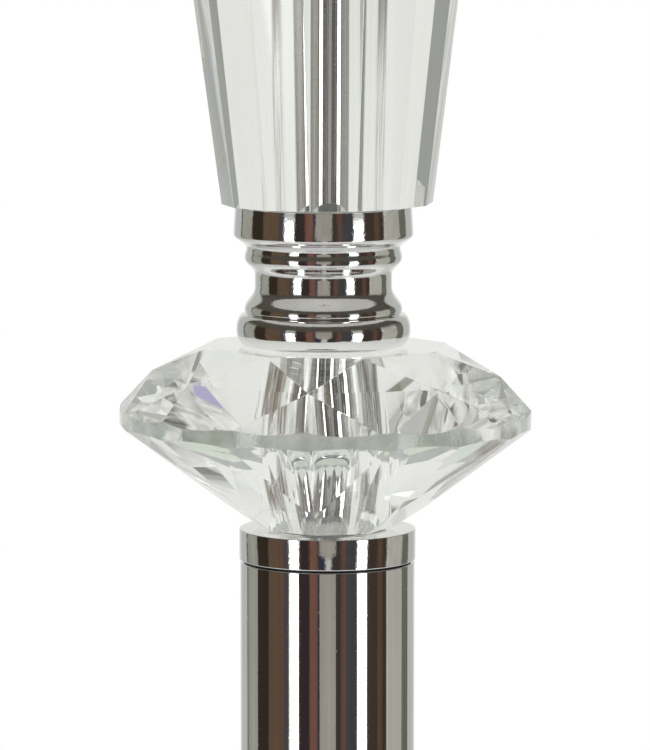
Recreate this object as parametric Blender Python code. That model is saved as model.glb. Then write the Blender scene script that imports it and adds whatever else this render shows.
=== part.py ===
# Floor lamp: a round weighted base, a two-length tube pole, a stack of cut glass and
# turned metal clamped on a hollow threaded rod, a lampholder with a turn switch, and a
# tapered drum shade. Metres, +Z up, the base stands on z = 0, the front faces -Y.

import bpy
import bmesh
from math import cos, degrees, pi, radians, sin, tan
from mathutils import Matrix, Vector

# Shared clearances and hardware
gap = 0.0003                    # air between two pieces that touch
seam = 0.0005                   # dark line that shows between the pole and its cap
rod_radius = 0.0050             # hollow threaded rod, also the short studs
rod_bore_radius = 0.0033
nut_flats = 0.0160              # across flats
nut_height = 0.0060
wide_steps = 44                 # sides of the base and the shade
turn_steps = 28                 # sides of the other large turned pieces
small_steps = 16                # sides of a small turned piece
nut_steps = 12                  # twice the sides of a nut
over = 0.0020                   # a cutter runs this far past what it cuts

# Base
base_radius = 0.140
hem_lift = 0.0015               # the cover's lower edge stays off the floor
shoulder_height = 0.0190
shoulder_fillet = 0.0040
step_radius = 0.116             # outer edge of the raised centre
step_rise = 0.0035
hub_radius = 0.040              # flat top that carries the pole foot
hub_height = 0.0330
hub_run_out = 0.0120            # level ring between the step and the sweep up to the hub
hub_lip = 0.0040                # the sweep ends this far outside the flat top
cover_sheet = 0.0012
pad_thickness = 0.0025
pad_margin = 0.0090             # pad edge in from the cover's edge
access_radius = 0.0200          # hole under the base for the nut
weight_thickness = 0.0110
weight_margin = 0.0090          # weight edge in from the cover's edge
weight_chamfer = 0.0030
boss_margin = 0.0040            # the weight's raised middle, in from the hub's edge
boss_slope = 0.0180             # width of the slope round it
nut_pocket_depth = 0.0095
nut_pocket_radius = 0.0165
washer_thickness = 0.0015
washer_radius = 0.0130
channel_width = 0.0100          # way for the lead, from the pocket to the gland
channel_depth = 0.0095

# Cord gland in the rear of the cover
gland_bore_radius = 0.0036
gland_neck_radius = 0.0050
gland_flange_radius = 0.0066
gland_flange_thickness = 0.0014
gland_edge = 0.0006             # softened outer edge of the flange
gland_height = 0.0087

# Pole
tube_radius = 0.0190
tube_wall = 0.0012
lower_tube_length = 0.510
upper_tube_length = 0.510
insert_height = 0.0120
foot_radius = 0.0340
foot_height = 0.0200
foot_floor = 0.0040
foot_rim_height = 0.0030
foot_rim_step = 0.0015          # small slope from the rim to the sweep
foot_lip_radius = 0.0215
foot_lip_height = 0.0040
foot_lip_edge = 0.0010
joint_ring_radius = 0.0196
joint_ring_height = 0.0060
joint_ring_edge = 0.0008
joint_stud_length = 0.0340

# Glass stack
cap_ring_radius = 0.0192
cap_ring_height = 0.00675
cap_ring_edge = 0.0003
glass_washer_thickness = 0.0008
glass_washer_radius = 0.0125
glass_bore_radius = 0.0100
sleeve_radius = 0.0060
sleeve_wall = 0.0006

disc_facets = 8                 # sides of the disc's top; its edge has twice as many
disc_height = 0.0397
disc_table_radius = 0.0270      # corner radius of the top
disc_crown_radius = 0.0380      # middle corners of the crown
disc_radius = 0.0448            # corner radius of the edge
disc_edge_bottom = 0.0218       # heights over the disc's foot
disc_edge_top = 0.0268
disc_foot_radius = 0.0136       # half width across the foot's flats
disc_tip_radius = 0.0220        # lower tips of the under-edge facets
disc_turn = radians(-5.6)       # as it stands on the pole, clockwise from above

collar_height = 0.0304
collar_top_radius = 0.01915
collar_drum_radius = 0.0195     # the drum's widest place, low on it
collar_drum_low = 0.0243
collar_bead_radius = 0.0170     # upper bead, under the drum
collar_bead_height = 0.0191
collar_waist_radius = 0.01487
collar_waist_top = 0.0152
collar_waist_low = 0.0128
collar_ring_radius = 0.0171     # lower bead, over the base
collar_ring_height = 0.0074
collar_groove_radius = 0.0169
collar_base_radius = 0.0189
collar_base_top = 0.0067
collar_base_shoulder = 0.0173   # radius where the rounded base starts and ends
collar_edge = 0.0004

column_sides = 14
column_height = 0.1200
column_foot_radius = 0.02295    # corner radius
column_top_radius = 0.0384
column_turn = radians(16.1)     # a corner stands this far right of the front

column_cap_radius = 0.0310
column_cap_height = 0.0170
column_cap_edge = 0.0008
column_cap_round = 0.0012
column_cap_rim_height = 0.0050
column_cap_sweep = 0.0030       # the sweep starts this far in from the rim
column_cap_neck_radius = 0.0110
column_cap_bead_height = 0.0042
column_cap_bead = 0.0035        # how far the top bead stands out from the neck

# Lampholder
holder_cup_radius = 0.0235
holder_cup_height = 0.0300
holder_cup_wall = 0.0010
holder_cup_round = 0.0020
holder_nut_height = 0.0040
holder_nut_flats = 0.0150
rod_run_out = 0.0010            # the rod stands this far out of its top nut
rod_tail = 0.0020               # and this far below its bottom nut
switch_block_height = 0.0190
switch_height = 0.0185          # knob axis over the cup's foot
shaft_radius = 0.0020
shaft_depth = 0.0110            # how far the shaft reaches into the switch block
knob_radius = 0.0062
knob_length = 0.0110
knob_flute = 0.0004
knob_stand_off = 0.0008
knob_front = 0.0025             # wall in front of the shaft's socket
knob_foot_round = 0.0012
knob_end_round = 0.0015
knob_flutes = 12
knob_foot_share = 0.90          # of the full radius, at the knob's foot
knob_neck_share = 0.97          # where its front edge starts to round
knob_end_share = 0.82           # at its front face
holder_body_radius = 0.0198
holder_body_height = 0.0300
holder_flange_radius = 0.0245
holder_flange_thickness = 0.0035
holder_floor = 0.0030
holder_edge = 0.0010
shell_set_back = 0.0015         # the screw shell stops below the holder's rim
screw_shell_radius = 0.0141
screw_shell_wall = 0.0006
contact_radius = 0.0030
contact_height = 0.0025
contact_foot = 0.0020           # the contact's foot is this much wider
contact_foot_height = 0.0008
shade_nut_radius = 0.0280
shade_nut_height = 0.0070
shade_nut_rim = 0.0020
shade_nut_slope = 0.0040

# Bulb
bulb_screw_length = 0.0250
bulb_tip_radius = 0.0055
bulb_tip_height = 0.0035
bulb_screw_start = 0.0065       # full width starts here
bulb_tip_slope = 0.0030
bulb_neck_radius = 0.0128
bulb_neck_height = 0.0100
bulb_shoulder_radius = 0.0168
bulb_shoulder_height = 0.0220
bulb_radius = 0.0300
bulb_length = 0.0840            # glass alone
bulb_join = radians(-33.4)      # where the ball meets the shoulder's sweep
bulb_wall = 0.0010

# Shade
shade_height = 0.260
shade_foot_radius = 0.200
shade_top_radius = 0.175
shade_wall = 0.0010
shade_wire_radius = 0.0015
shade_wire_lift = 0.0030        # wire centre in from the shade's edge
shade_drop = 0.0220             # bottom wire below the centre plate
shade_plate_margin = 0.0040     # the plate shows this much round the shade nut
shade_arm_start = 0.0014        # the arms start this far outside the shade nut
shade_plate_thickness = 0.0016
shade_arm_count = 3
shade_arm_radius = 0.0016
wire_sides = 6
arm_sides = 8

# Colour, metallic, roughness
finishes = {
    "chrome": ((0.83, 0.84, 0.84), 1.0, 0.06),
    "steel": ((0.62, 0.61, 0.59), 1.0, 0.35),
    "cast_iron": ((0.16, 0.16, 0.17), 0.8, 0.70),
    "brass": ((0.78, 0.62, 0.30), 1.0, 0.30),
    "glass": ((0.90, 0.93, 0.90), 0.0, 0.02),
    "opal": ((0.93, 0.92, 0.88), 0.0, 0.25),
    "black": ((0.03, 0.03, 0.03), 0.0, 0.50),
    "clear_plastic": ((0.86, 0.86, 0.82), 0.0, 0.40),
    "felt": ((0.06, 0.06, 0.065), 0.0, 0.95),
    "fabric": ((0.86, 0.83, 0.76), 0.0, 0.90),
}


def clear_scene():
    for old in list(bpy.data.objects):
        bpy.data.objects.remove(old, do_unlink=True)


def material_for(node, finish):
    colour, metallic, roughness = finishes[finish]
    material = bpy.data.materials.new(node + "_" + finish)
    material.use_nodes = True
    shader = material.node_tree.nodes["Principled BSDF"]
    shader.inputs["Base Color"].default_value = (*colour, 1.0)
    shader.inputs["Metallic"].default_value = metallic
    shader.inputs["Roughness"].default_value = roughness
    if finish == "glass":
        shader.inputs["Transmission Weight"].default_value = 1.0
        shader.inputs["IOR"].default_value = 1.52
    return material


def add_piece(node, bm, finish, smooth=True):
    bmesh.ops.recalc_face_normals(bm, faces=bm.faces)
    mesh = bpy.data.meshes.new(node)
    bm.to_mesh(mesh)
    bm.free()
    if smooth:
        mesh.shade_smooth()
        mesh.set_sharp_from_angle(angle=radians(32.0))
    piece = bpy.data.objects.new(node, mesh)
    bpy.context.collection.objects.link(piece)
    if finish:
        mesh.materials.append(material_for(node, finish))
    return piece


def add_cutter(node, bm):
    cutter = add_piece(node, bm, None, smooth=False)
    cutter.hide_render = True
    cutter.display_type = "WIRE"
    return cutter


def add_boolean(piece, tool, operation):
    boolean = piece.modifiers.new(tool.name, "BOOLEAN")
    boolean.object = tool
    boolean.operation = operation
    boolean.solver = "EXACT"


# Profiles are lists of (radius, height) points


def arc(centre, radius, start, end, steps):
    points = []
    for i in range(steps + 1):
        angle = radians(start + (end - start) * i / steps)
        points.append((centre[0] + radius * cos(angle), centre[1] + radius * sin(angle)))
    return points


def bead(z_low, z_high, edge_radius, full_radius, steps):
    middle = (z_low + z_high) / 2
    half = (z_high - z_low) / 2
    points = []
    for i in range(steps + 1):
        angle = -pi / 2 + pi * i / steps
        radius = edge_radius + (full_radius - edge_radius) * cos(angle)
        points.append((radius, middle + half * sin(angle)))
    return points


def cove(low, high, steps):
    # quarter curve that leaves low level and reaches high upright
    points = []
    for i in range(steps + 1):
        angle = pi / 2 * i / steps
        radius = high[0] + (low[0] - high[0]) * (1 - sin(angle))
        points.append((radius, low[1] + (high[1] - low[1]) * (1 - cos(angle))))
    return points


def sweep(low, high, steps):
    # curve from low to high that is upright at both ends
    points = []
    for i in range(steps + 1):
        t = i / steps
        share = t ** 3 * (10 - t * (15 - 6 * t))
        points.append((low[0] + (high[0] - low[0]) * share, low[1] + (high[1] - low[1]) * t))
    return points


def inward(profile, wall):
    # the same outline moved in by the wall, for one that runs down its outer side
    moved = []
    for i, point in enumerate(profile):
        before = Vector(profile[max(i - 1, 0)])
        after = Vector(profile[min(i + 1, len(profile) - 1)])
        here = Vector(point)
        into = (here - before).normalized() if i > 0 else (after - here).normalized()
        out = (after - here).normalized() if i < len(profile) - 1 else into
        side = Vector((into.y, -into.x)) + Vector((out.y, -out.x))
        side.normalize()
        reach = wall / max(side.dot(Vector((into.y, -into.x))), 0.5)
        moved.append((here.x + side.x * reach, here.y + side.y * reach))
    return moved


def shell(profile, wall):
    return profile + inward(profile, wall)[::-1]


def turned(node, profile, finish, steps=turn_steps, closed=True):
    bm = bmesh.new()
    verts = [bm.verts.new((radius, 0.0, z)) for radius, z in profile]
    edges = [bm.edges.new(pair) for pair in zip(verts, verts[1:])]
    if closed:
        edges.append(bm.edges.new((verts[-1], verts[0])))
    bmesh.ops.spin(bm, geom=verts + edges, cent=(0, 0, 0), axis=(0, 0, 1), dvec=(0, 0, 0),
                   angle=2 * pi, steps=steps, use_merge=True, use_duplicate=False)
    bmesh.ops.remove_doubles(bm, verts=bm.verts, dist=1e-7)
    return add_piece(node, bm, finish)


def tube(node, radius, bore, z_low, z_high, finish, steps=turn_steps):
    profile = [(radius, z_low), (radius, z_high), (bore, z_high), (bore, z_low)]
    return turned(node, profile, finish, steps)


def cutter_rod(node, radius, z_low, z_high, steps=small_steps):
    bm = bmesh.new()
    middle = Matrix.Translation((0, 0, (z_low + z_high) / 2))
    bmesh.ops.create_cone(bm, cap_ends=True, segments=steps, radius1=radius, radius2=radius,
                          depth=z_high - z_low, matrix=middle)
    return add_cutter(node, bm)


def flats_radius(flats, angle):
    # distance to the side of a hexagon at this angle
    return flats / 2 / cos((angle % (pi / 3)) - pi / 6)


def hex_nut(node, flats, height, z_low, finish):
    steps = nut_steps
    angles = [2 * pi * i / steps for i in range(steps)]
    hole = rod_radius + gap
    loops = []
    for z, outer in ((z_low, True), (z_low + height, True), (z_low + height, False), (z_low, False)):
        radii = [flats_radius(flats, a) if outer else hole for a in angles]
        loops.append([(r * cos(a), r * sin(a), z) for r, a in zip(radii, angles)])
    bm = bmesh.new()
    rings = [[bm.verts.new(point) for point in loop] for loop in loops]
    for low, high in zip(rings, rings[1:] + rings[:1]):
        for i in range(steps):
            j = (i + 1) % steps
            bm.faces.new((low[i], low[j], high[j], high[i]))
    return add_piece(node, bm, finish, smooth=False)


def corners(radius, z, sides, first):
    step = 2 * pi / sides
    return [(radius * cos(first + i * step), radius * sin(first + i * step), z) for i in range(sides)]


def cut_glass(node, points, height, z_low, finish):
    # the flat facets are the hull of their corners, then the bore is cut through
    bm = bmesh.new()
    verts = [bm.verts.new(point) for point in points]
    bmesh.ops.convex_hull(bm, input=verts)
    bmesh.ops.dissolve_limit(bm, angle_limit=radians(0.2), verts=bm.verts, edges=bm.edges)
    bmesh.ops.translate(bm, verts=bm.verts, vec=(0, 0, z_low))
    glass = add_piece(node, bm, finish, smooth=False)
    bore = cutter_rod(node + "_bore", glass_bore_radius, z_low - over, z_low + height + over)
    add_boolean(glass, bore, "DIFFERENCE")
    return glass


# Heights of the stack, from the floor up

weight_z = pad_thickness + gap
foot_z = hub_height + gap
foot_seat_z = foot_z + foot_floor
lower_tube_z = foot_seat_z + gap
joint_z = lower_tube_z + lower_tube_length + gap
upper_tube_z = joint_z + joint_ring_height + gap
upper_tube_top = upper_tube_z + upper_tube_length
cap_z = upper_tube_top + seam
disc_z = cap_z + cap_ring_height + gap
collar_z = disc_z + disc_height + gap
column_z = collar_z + collar_height + gap
column_cap_z = column_z + column_height + gap
cup_z = column_cap_z + column_cap_height + gap
cup_top = cup_z + holder_cup_height
holder_z = cup_top + gap
plate_z = holder_z + holder_flange_thickness + gap
shade_nut_z = plate_z + shade_plate_thickness + gap
holder_top = holder_z + holder_body_height
bulb_z = holder_z + holder_floor + gap + contact_height + gap
glass_z = bulb_z + bulb_screw_length + gap
foot_wire_z = plate_z - shade_drop
shade_z = foot_wire_z - shade_wire_lift
shade_top = shade_z + shade_height

hole_radius = rod_radius + gap
tube_bore = tube_radius - tube_wall
insert_radius = tube_bore - gap


# Base


def cover_profile():
    fillet_centre = (base_radius - shoulder_fillet, shoulder_height - shoulder_fillet)
    profile = [(base_radius, hem_lift)]
    profile += arc(fillet_centre, shoulder_fillet, 0, 90, 3)
    profile += [(step_radius + step_rise, shoulder_height)]
    profile += arc((step_radius, shoulder_height), step_rise, 45, 90, 1)
    level = shoulder_height + step_rise
    profile += cove((step_radius - hub_run_out, level), (hub_radius + hub_lip, hub_height), 6)
    profile += [(hub_radius, hub_height), (hole_radius, hub_height)]
    return profile[::-1]


def base_cover():
    cover = turned("base_cover", shell(cover_profile(), cover_sheet), "chrome", wide_steps)
    bm = bmesh.new()
    across = Matrix.Translation((0, base_radius, gland_height)) @ Matrix.Rotation(pi / 2, 4, "X")
    bmesh.ops.create_cone(bm, cap_ends=True, segments=small_steps, radius1=gland_neck_radius + gap,
                          radius2=gland_neck_radius + gap, depth=6 * over, matrix=across)
    add_boolean(cover, add_cutter("gland_hole", bm), "DIFFERENCE")


def base_weight():
    edge = base_radius - weight_margin
    top = weight_z + weight_thickness
    boss = hub_radius - boss_margin
    boss_top = hub_height - cover_sheet - gap
    pocket_top = weight_z + nut_pocket_depth
    profile = [(edge, weight_z), (edge, top - weight_chamfer), (edge - weight_chamfer, top),
               (boss + boss_slope, top), (boss, boss_top), (hole_radius, boss_top),
               (hole_radius, pocket_top), (nut_pocket_radius, pocket_top),
               (nut_pocket_radius, weight_z)]
    weight = turned("base_weight", profile, "cast_iron")
    bm = bmesh.new()
    length = edge + over
    low = weight_z - over / 2
    size = Matrix.Diagonal((channel_width, length, channel_depth, 1.0))
    place = Matrix.Translation((0, length / 2, low + channel_depth / 2))
    bmesh.ops.create_cube(bm, size=1.0, matrix=place @ size)
    add_boolean(weight, add_cutter("lead_channel", bm), "DIFFERENCE")


def base_fixings():
    pad_radius = base_radius - pad_margin
    tube("base_pad", pad_radius, access_radius, 0.0, pad_thickness, "felt", wide_steps)
    washer_z = weight_z + nut_pocket_depth - gap - washer_thickness
    tube("base_washer", washer_radius, hole_radius, washer_z, washer_z + washer_thickness, "steel",
         small_steps)
    nut_z = washer_z - gap - nut_height
    hex_nut("base_nut", nut_flats, nut_height, nut_z, "steel")
    tube("base_stud", rod_radius, rod_bore_radius, nut_z + gap, foot_seat_z + gap + insert_height - gap,
         "steel", small_steps)


def cord_gland():
    # the cover curves away from the flange inside, by this much at the flange's edge
    fall = gland_flange_radius * tan(pi / wide_steps)
    outer = base_radius + gap
    inner = base_radius - cover_sheet - gap - fall
    flange = gland_flange_thickness
    profile = [(gland_bore_radius, inner - flange), (gland_flange_radius, inner - flange),
               (gland_flange_radius, inner), (gland_neck_radius, inner),
               (gland_neck_radius, outer), (gland_flange_radius, outer),
               (gland_flange_radius - gland_edge, outer + flange), (gland_bore_radius, outer + flange)]
    gland = turned("cord_gland", profile, "black", small_steps)
    gland.rotation_euler = (-pi / 2, 0.0, 0.0)
    gland.location = (0.0, 0.0, gland_height)


# Pole


def pole_foot():
    seat = tube_radius + gap
    top = foot_z + foot_height
    rim_top = foot_z + foot_rim_height
    profile = [(foot_radius, foot_z), (foot_radius, rim_top)]
    profile += cove((foot_radius - foot_rim_step, rim_top + foot_rim_step),
                    (foot_lip_radius, top - foot_lip_height), 6)
    profile += [(foot_lip_radius, top - foot_lip_edge), (foot_lip_radius - foot_lip_edge, top),
                (seat, top), (seat, foot_seat_z), (hole_radius, foot_seat_z), (hole_radius, foot_z)]
    turned("pole_foot", profile, "chrome")


def pole_tubes():
    lower_top = lower_tube_z + lower_tube_length
    tube("lower_tube", tube_radius, tube_bore, lower_tube_z, lower_top, "chrome")
    tube("upper_tube", tube_radius, tube_bore, upper_tube_z, upper_tube_top, "chrome")
    inserts = (("foot_insert", lower_tube_z), ("lower_tube_insert", lower_top - insert_height),
               ("upper_tube_insert", upper_tube_z), ("top_insert", upper_tube_top - insert_height))
    for node, z in inserts:
        tube(node, insert_radius, hole_radius, z, z + insert_height, "steel")


def pole_joint():
    soft = joint_ring_edge
    top = joint_z + joint_ring_height
    outer = joint_ring_radius
    profile = [(outer - soft, joint_z), (outer, joint_z + soft), (outer, top - soft),
               (outer - soft, top), (hole_radius, top), (hole_radius, joint_z)]
    turned("joint_ring", profile, "chrome")
    middle = joint_z + joint_ring_height / 2
    half = joint_stud_length / 2
    tube("joint_stud", rod_radius, rod_bore_radius, middle - half, middle + half, "steel", small_steps)


# Glass stack


def cap_ring():
    soft = cap_ring_edge
    top = cap_z + cap_ring_height
    recess = glass_washer_radius + gap
    floor = top - glass_washer_thickness - gap
    profile = [(cap_ring_radius - soft, cap_z), (cap_ring_radius, cap_z + soft),
               (cap_ring_radius, top - soft), (cap_ring_radius - soft, top), (recess, top),
               (recess, floor), (hole_radius, floor), (hole_radius, cap_z)]
    turned("cap_ring", profile, "chrome")


def glass_washers():
    # each washer lies in a shallow recess of the metal piece beside it
    thick = glass_washer_thickness
    places = (("disc_foot_washer", cap_z + cap_ring_height - thick),
              ("disc_top_washer", collar_z),
              ("column_foot_washer", collar_z + collar_height - thick),
              ("column_top_washer", column_cap_z))
    for node, z in places:
        tube(node, glass_washer_radius, sleeve_radius + gap, z, z + thick, "clear_plastic", small_steps)


def sleeves():
    # bright tubes that hide the rod inside the glass
    bore = sleeve_radius - sleeve_wall
    thick = glass_washer_thickness
    tube("disc_sleeve", sleeve_radius, bore, cap_z + cap_ring_height - thick, collar_z + thick,
         "chrome", small_steps)
    tube("column_sleeve", sleeve_radius, bore, collar_z + collar_height - thick,
         column_cap_z + thick, "chrome", small_steps)


def crystal_disc():
    half = pi / disc_facets
    # the crown's large facets are flat from the top's corner to the edge's corner
    fall = (disc_height - disc_edge_top) / (disc_radius - disc_table_radius)
    crown_z = disc_height - fall * (disc_crown_radius * cos(half) - disc_table_radius)
    # and so are the large facets below, from the edge's corner to the foot's side
    under = disc_edge_bottom / (disc_radius - disc_foot_radius)
    tip_z = under * (disc_tip_radius * cos(half) - disc_foot_radius)
    points = corners(disc_table_radius, disc_height, disc_facets, disc_turn + half)
    points += corners(disc_crown_radius, crown_z, disc_facets, disc_turn)
    for z in (disc_edge_top, disc_edge_bottom):
        points += corners(disc_radius, z, 2 * disc_facets, disc_turn)
    points += corners(disc_tip_radius, tip_z, disc_facets, disc_turn)
    points += corners(disc_foot_radius / cos(half), 0.0, disc_facets, disc_turn)
    cut_glass("crystal_disc", points, disc_height, disc_z, "glass")


def crystal_column():
    first = -pi / 2 + column_turn
    points = corners(column_foot_radius, 0.0, column_sides, first)
    points += corners(column_top_radius, column_height, column_sides, first)
    cut_glass("crystal_column", points, column_height, column_z, "glass")


def stem_collar():
    base = collar_z
    top = collar_z + collar_height
    recess = glass_washer_radius + gap
    inner_low = base + glass_washer_thickness + gap
    inner_high = top - glass_washer_thickness - gap
    bead_z = base + collar_bead_height
    profile = [(recess, base)]
    profile += bead(base, base + collar_base_top, collar_base_shoulder, collar_base_radius, 8)
    profile += [(collar_groove_radius, base + collar_base_top)]
    profile += sweep((collar_ring_radius, base + collar_ring_height),
                     (collar_waist_radius, base + collar_waist_low), 6)
    profile += sweep((collar_waist_radius, base + collar_waist_top), (collar_bead_radius, bead_z), 6)
    profile += sweep((collar_bead_radius, bead_z), (collar_drum_radius, base + collar_drum_low), 8)[1:]
    profile += [(collar_top_radius, top - collar_edge), (collar_top_radius - collar_edge, top),
                (recess, top), (recess, inner_high), (hole_radius, inner_high),
                (hole_radius, inner_low), (recess, inner_low)]
    turned("stem_collar", profile, "chrome")


def column_cap():
    base = column_cap_z
    top = base + column_cap_height
    rim = column_cap_radius
    neck = column_cap_neck_radius
    recess = glass_washer_radius + gap
    inner = base + glass_washer_thickness + gap
    soft = column_cap_edge
    rim_top = base + column_cap_rim_height
    profile = [(recess, base), (rim - soft, base), (rim, base + soft)]
    profile += arc((rim - column_cap_round, rim_top - soft - column_cap_round), column_cap_round, 0, 90, 2)
    profile += cove((rim - column_cap_sweep, rim_top), (neck, top - column_cap_bead_height - soft), 6)
    profile += bead(top - column_cap_bead_height, top, neck, neck + column_cap_bead, 5)
    profile += [(hole_radius, top), (hole_radius, inner), (recess, inner)]
    turned("column_cap", profile, "chrome")


def centre_rod():
    nut_z = upper_tube_top - insert_height - gap - nut_height
    hex_nut("rod_nut", nut_flats, nut_height, nut_z, "steel")
    holder_nut_z = cup_z + holder_cup_wall + gap
    hex_nut("holder_nut", holder_nut_flats, holder_nut_height, holder_nut_z, "steel")
    top = holder_nut_z + holder_nut_height + rod_run_out
    tube("centre_rod", rod_radius, rod_bore_radius, nut_z - rod_tail, top, "steel", small_steps)


# Lampholder


def holder_cup():
    soft = holder_cup_round
    outer = holder_cup_radius
    profile = [(outer, cup_top)]
    profile += arc((outer - soft, cup_z + soft), soft, 0, -90, 3)
    profile += [(hole_radius, cup_z)]
    cup = turned("holder_cup", shell(profile, holder_cup_wall), "chrome")
    hole = cutter_rod("knob_hole", shaft_radius + gap, outer - holder_cup_wall - over, outer + over)
    hole.rotation_euler = (0.0, pi / 2, 0.0)
    hole.location = (0.0, 0.0, cup_z + switch_height)
    add_boolean(cup, hole, "DIFFERENCE")


def switch_block():
    outer = holder_cup_radius - holder_cup_wall - gap
    high = cup_top - gap
    low = high - switch_block_height
    block = tube("switch_block", outer, rod_bore_radius, low, high, "black")
    reach = outer - shaft_depth - gap
    bore = cutter_rod("shaft_bore", shaft_radius + gap, reach, outer + over)
    bore.rotation_euler = (0.0, pi / 2, 0.0)
    bore.location = (0.0, 0.0, cup_z + switch_height)
    add_boolean(block, bore, "DIFFERENCE")


def switch_knob():
    # the shaft's inner end is the local origin of both, on the joint's axis
    start = holder_cup_radius - holder_cup_wall - gap - shaft_depth
    knob_foot = holder_cup_radius + knob_stand_off - start
    shaft_end = knob_foot + knob_length - knob_front
    shaft = turned("switch_shaft", [(0.0, 0.0), (shaft_radius, 0.0), (shaft_radius, shaft_end),
                                    (0.0, shaft_end)], "brass", small_steps, closed=False)
    steps = 3 * knob_flutes
    bm = bmesh.new()
    knob_end = knob_foot + knob_length
    socket_end = shaft_end + gap
    # height of each ring of corners, and its share of the full radius
    sections = ((knob_foot, knob_foot_share), (knob_foot + knob_foot_round, 1.0),
                (knob_end - knob_end_round, knob_neck_share), (knob_end, knob_end_share))
    rings = []
    for z, share in sections:
        ring = []
        for i in range(steps):
            angle = 2 * pi * i / steps
            radius = (knob_radius + knob_flute * cos(knob_flutes * angle)) * share
            ring.append(bm.verts.new((radius * cos(angle), radius * sin(angle), z)))
        rings.append(ring)
    hole = shaft_radius + gap
    for z in (socket_end, knob_foot):
        ring = [bm.verts.new((hole * cos(2 * pi * i / steps), hole * sin(2 * pi * i / steps), z))
                for i in range(steps)]
        rings.append(ring)
    for low, high in ((0, 1), (1, 2), (2, 3), (5, 0), (4, 5)):
        for i in range(steps):
            j = (i + 1) % steps
            bm.faces.new((rings[low][i], rings[low][j], rings[high][j], rings[high][i]))
    bm.faces.new(rings[3])
    bm.faces.new(rings[4])
    knob = add_piece("switch_knob", bm, "black")
    for piece in (shaft, knob):
        piece.rotation_euler = (0.0, pi / 2, 0.0)
        piece.location = (start, 0.0, cup_z + switch_height)


def holder_body():
    flange_top = holder_z + holder_flange_thickness
    bore = screw_shell_radius + gap
    floor = holder_z + holder_floor
    profile = [(holder_flange_radius, holder_z), (holder_flange_radius, flange_top),
               (holder_body_radius, flange_top), (holder_body_radius, holder_top - holder_edge),
               (holder_body_radius - holder_edge, holder_top), (bore, holder_top), (bore, floor),
               (rod_bore_radius, floor), (rod_bore_radius, holder_z)]
    turned("holder_body", profile, "opal")


def holder_metal():
    floor = holder_z + holder_floor + gap
    tube("screw_shell", screw_shell_radius, screw_shell_radius - screw_shell_wall, floor,
         holder_top - shell_set_back, "brass")
    rivet = rod_bore_radius - gap
    top = floor + contact_height
    wide = contact_radius + contact_foot
    profile = [(0.0, holder_z + gap), (rivet, holder_z + gap), (rivet, floor), (wide, floor),
               (wide, floor + contact_foot_height), (contact_radius, top), (0.0, top)]
    turned("centre_contact", profile, "brass", small_steps, closed=False)


def shade_nut():
    inner = holder_body_radius + gap
    top = shade_nut_z + shade_nut_height
    profile = [(shade_nut_radius, shade_nut_z), (shade_nut_radius, shade_nut_z + shade_nut_rim),
               (shade_nut_radius - shade_nut_slope, top), (inner, top), (inner, shade_nut_z)]
    turned("shade_nut", profile, "opal")


# Bulb


def bulb():
    radius = screw_shell_radius - screw_shell_wall - gap
    screw_top = bulb_z + bulb_screw_length
    profile = [(0.0, bulb_z), (bulb_tip_radius, bulb_z),
               (radius - bulb_tip_slope, bulb_z + bulb_tip_height),
               (radius, bulb_z + bulb_screw_start), (radius, screw_top), (0.0, screw_top)]
    turned("bulb_screw", profile, "steel", small_steps, closed=False)
    middle = glass_z + bulb_length - bulb_radius
    shoulder = (bulb_shoulder_radius, glass_z + bulb_shoulder_height)
    join = (bulb_radius * cos(bulb_join), middle + bulb_radius * sin(bulb_join))
    outline = [(bulb_neck_radius, glass_z), (bulb_neck_radius, glass_z + bulb_neck_height), shoulder,
               ((shoulder[0] + join[0]) / 2 + bulb_wall, (shoulder[1] + join[1]) / 2)]
    outline += arc((0.0, middle), bulb_radius, degrees(bulb_join), 86, 8)
    outline += [(0.0, middle + bulb_radius)]
    inner = []
    for r, z in outline[:-1]:
        drop = bulb_wall * max(z - middle, 0.0) / bulb_radius
        inner.append((max(r - bulb_wall, 0.0), z - drop))
    inner.append((0.0, middle + bulb_radius - bulb_wall))
    turned("bulb_glass", outline[::-1] + inner, "opal", closed=False)


# Shade


def shade_radius_at(z):
    return shade_foot_radius + (shade_top_radius - shade_foot_radius) * (z - shade_z) / shade_height


def wire_ring_radius(z):
    return shade_radius_at(z) - shade_wall - gap - shade_wire_radius


def ring_bm(radius, wire, z):
    bm = bmesh.new()
    circle = bmesh.ops.create_circle(bm, segments=wire_sides, radius=wire)["verts"]
    stand = Matrix.Translation((radius, 0, z)) @ Matrix.Rotation(pi / 2, 4, "X")
    bmesh.ops.transform(bm, matrix=stand, verts=circle)
    bmesh.ops.spin(bm, geom=bm.verts[:] + bm.edges[:], cent=(0, 0, 0), axis=(0, 0, 1),
                   dvec=(0, 0, 0), angle=2 * pi, steps=wide_steps, use_merge=True)
    bmesh.ops.remove_doubles(bm, verts=bm.verts, dist=1e-7)
    return bm


def rod_between(bm, start, end, radius):
    start, end = Vector(start), Vector(end)
    way = end - start
    turn = way.to_track_quat("Z", "Y").to_matrix().to_4x4()
    place = Matrix.Translation((start + end) / 2) @ turn
    bmesh.ops.create_cone(bm, cap_ends=True, segments=arm_sides, radius1=radius, radius2=radius,
                          depth=way.length, matrix=place)


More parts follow.
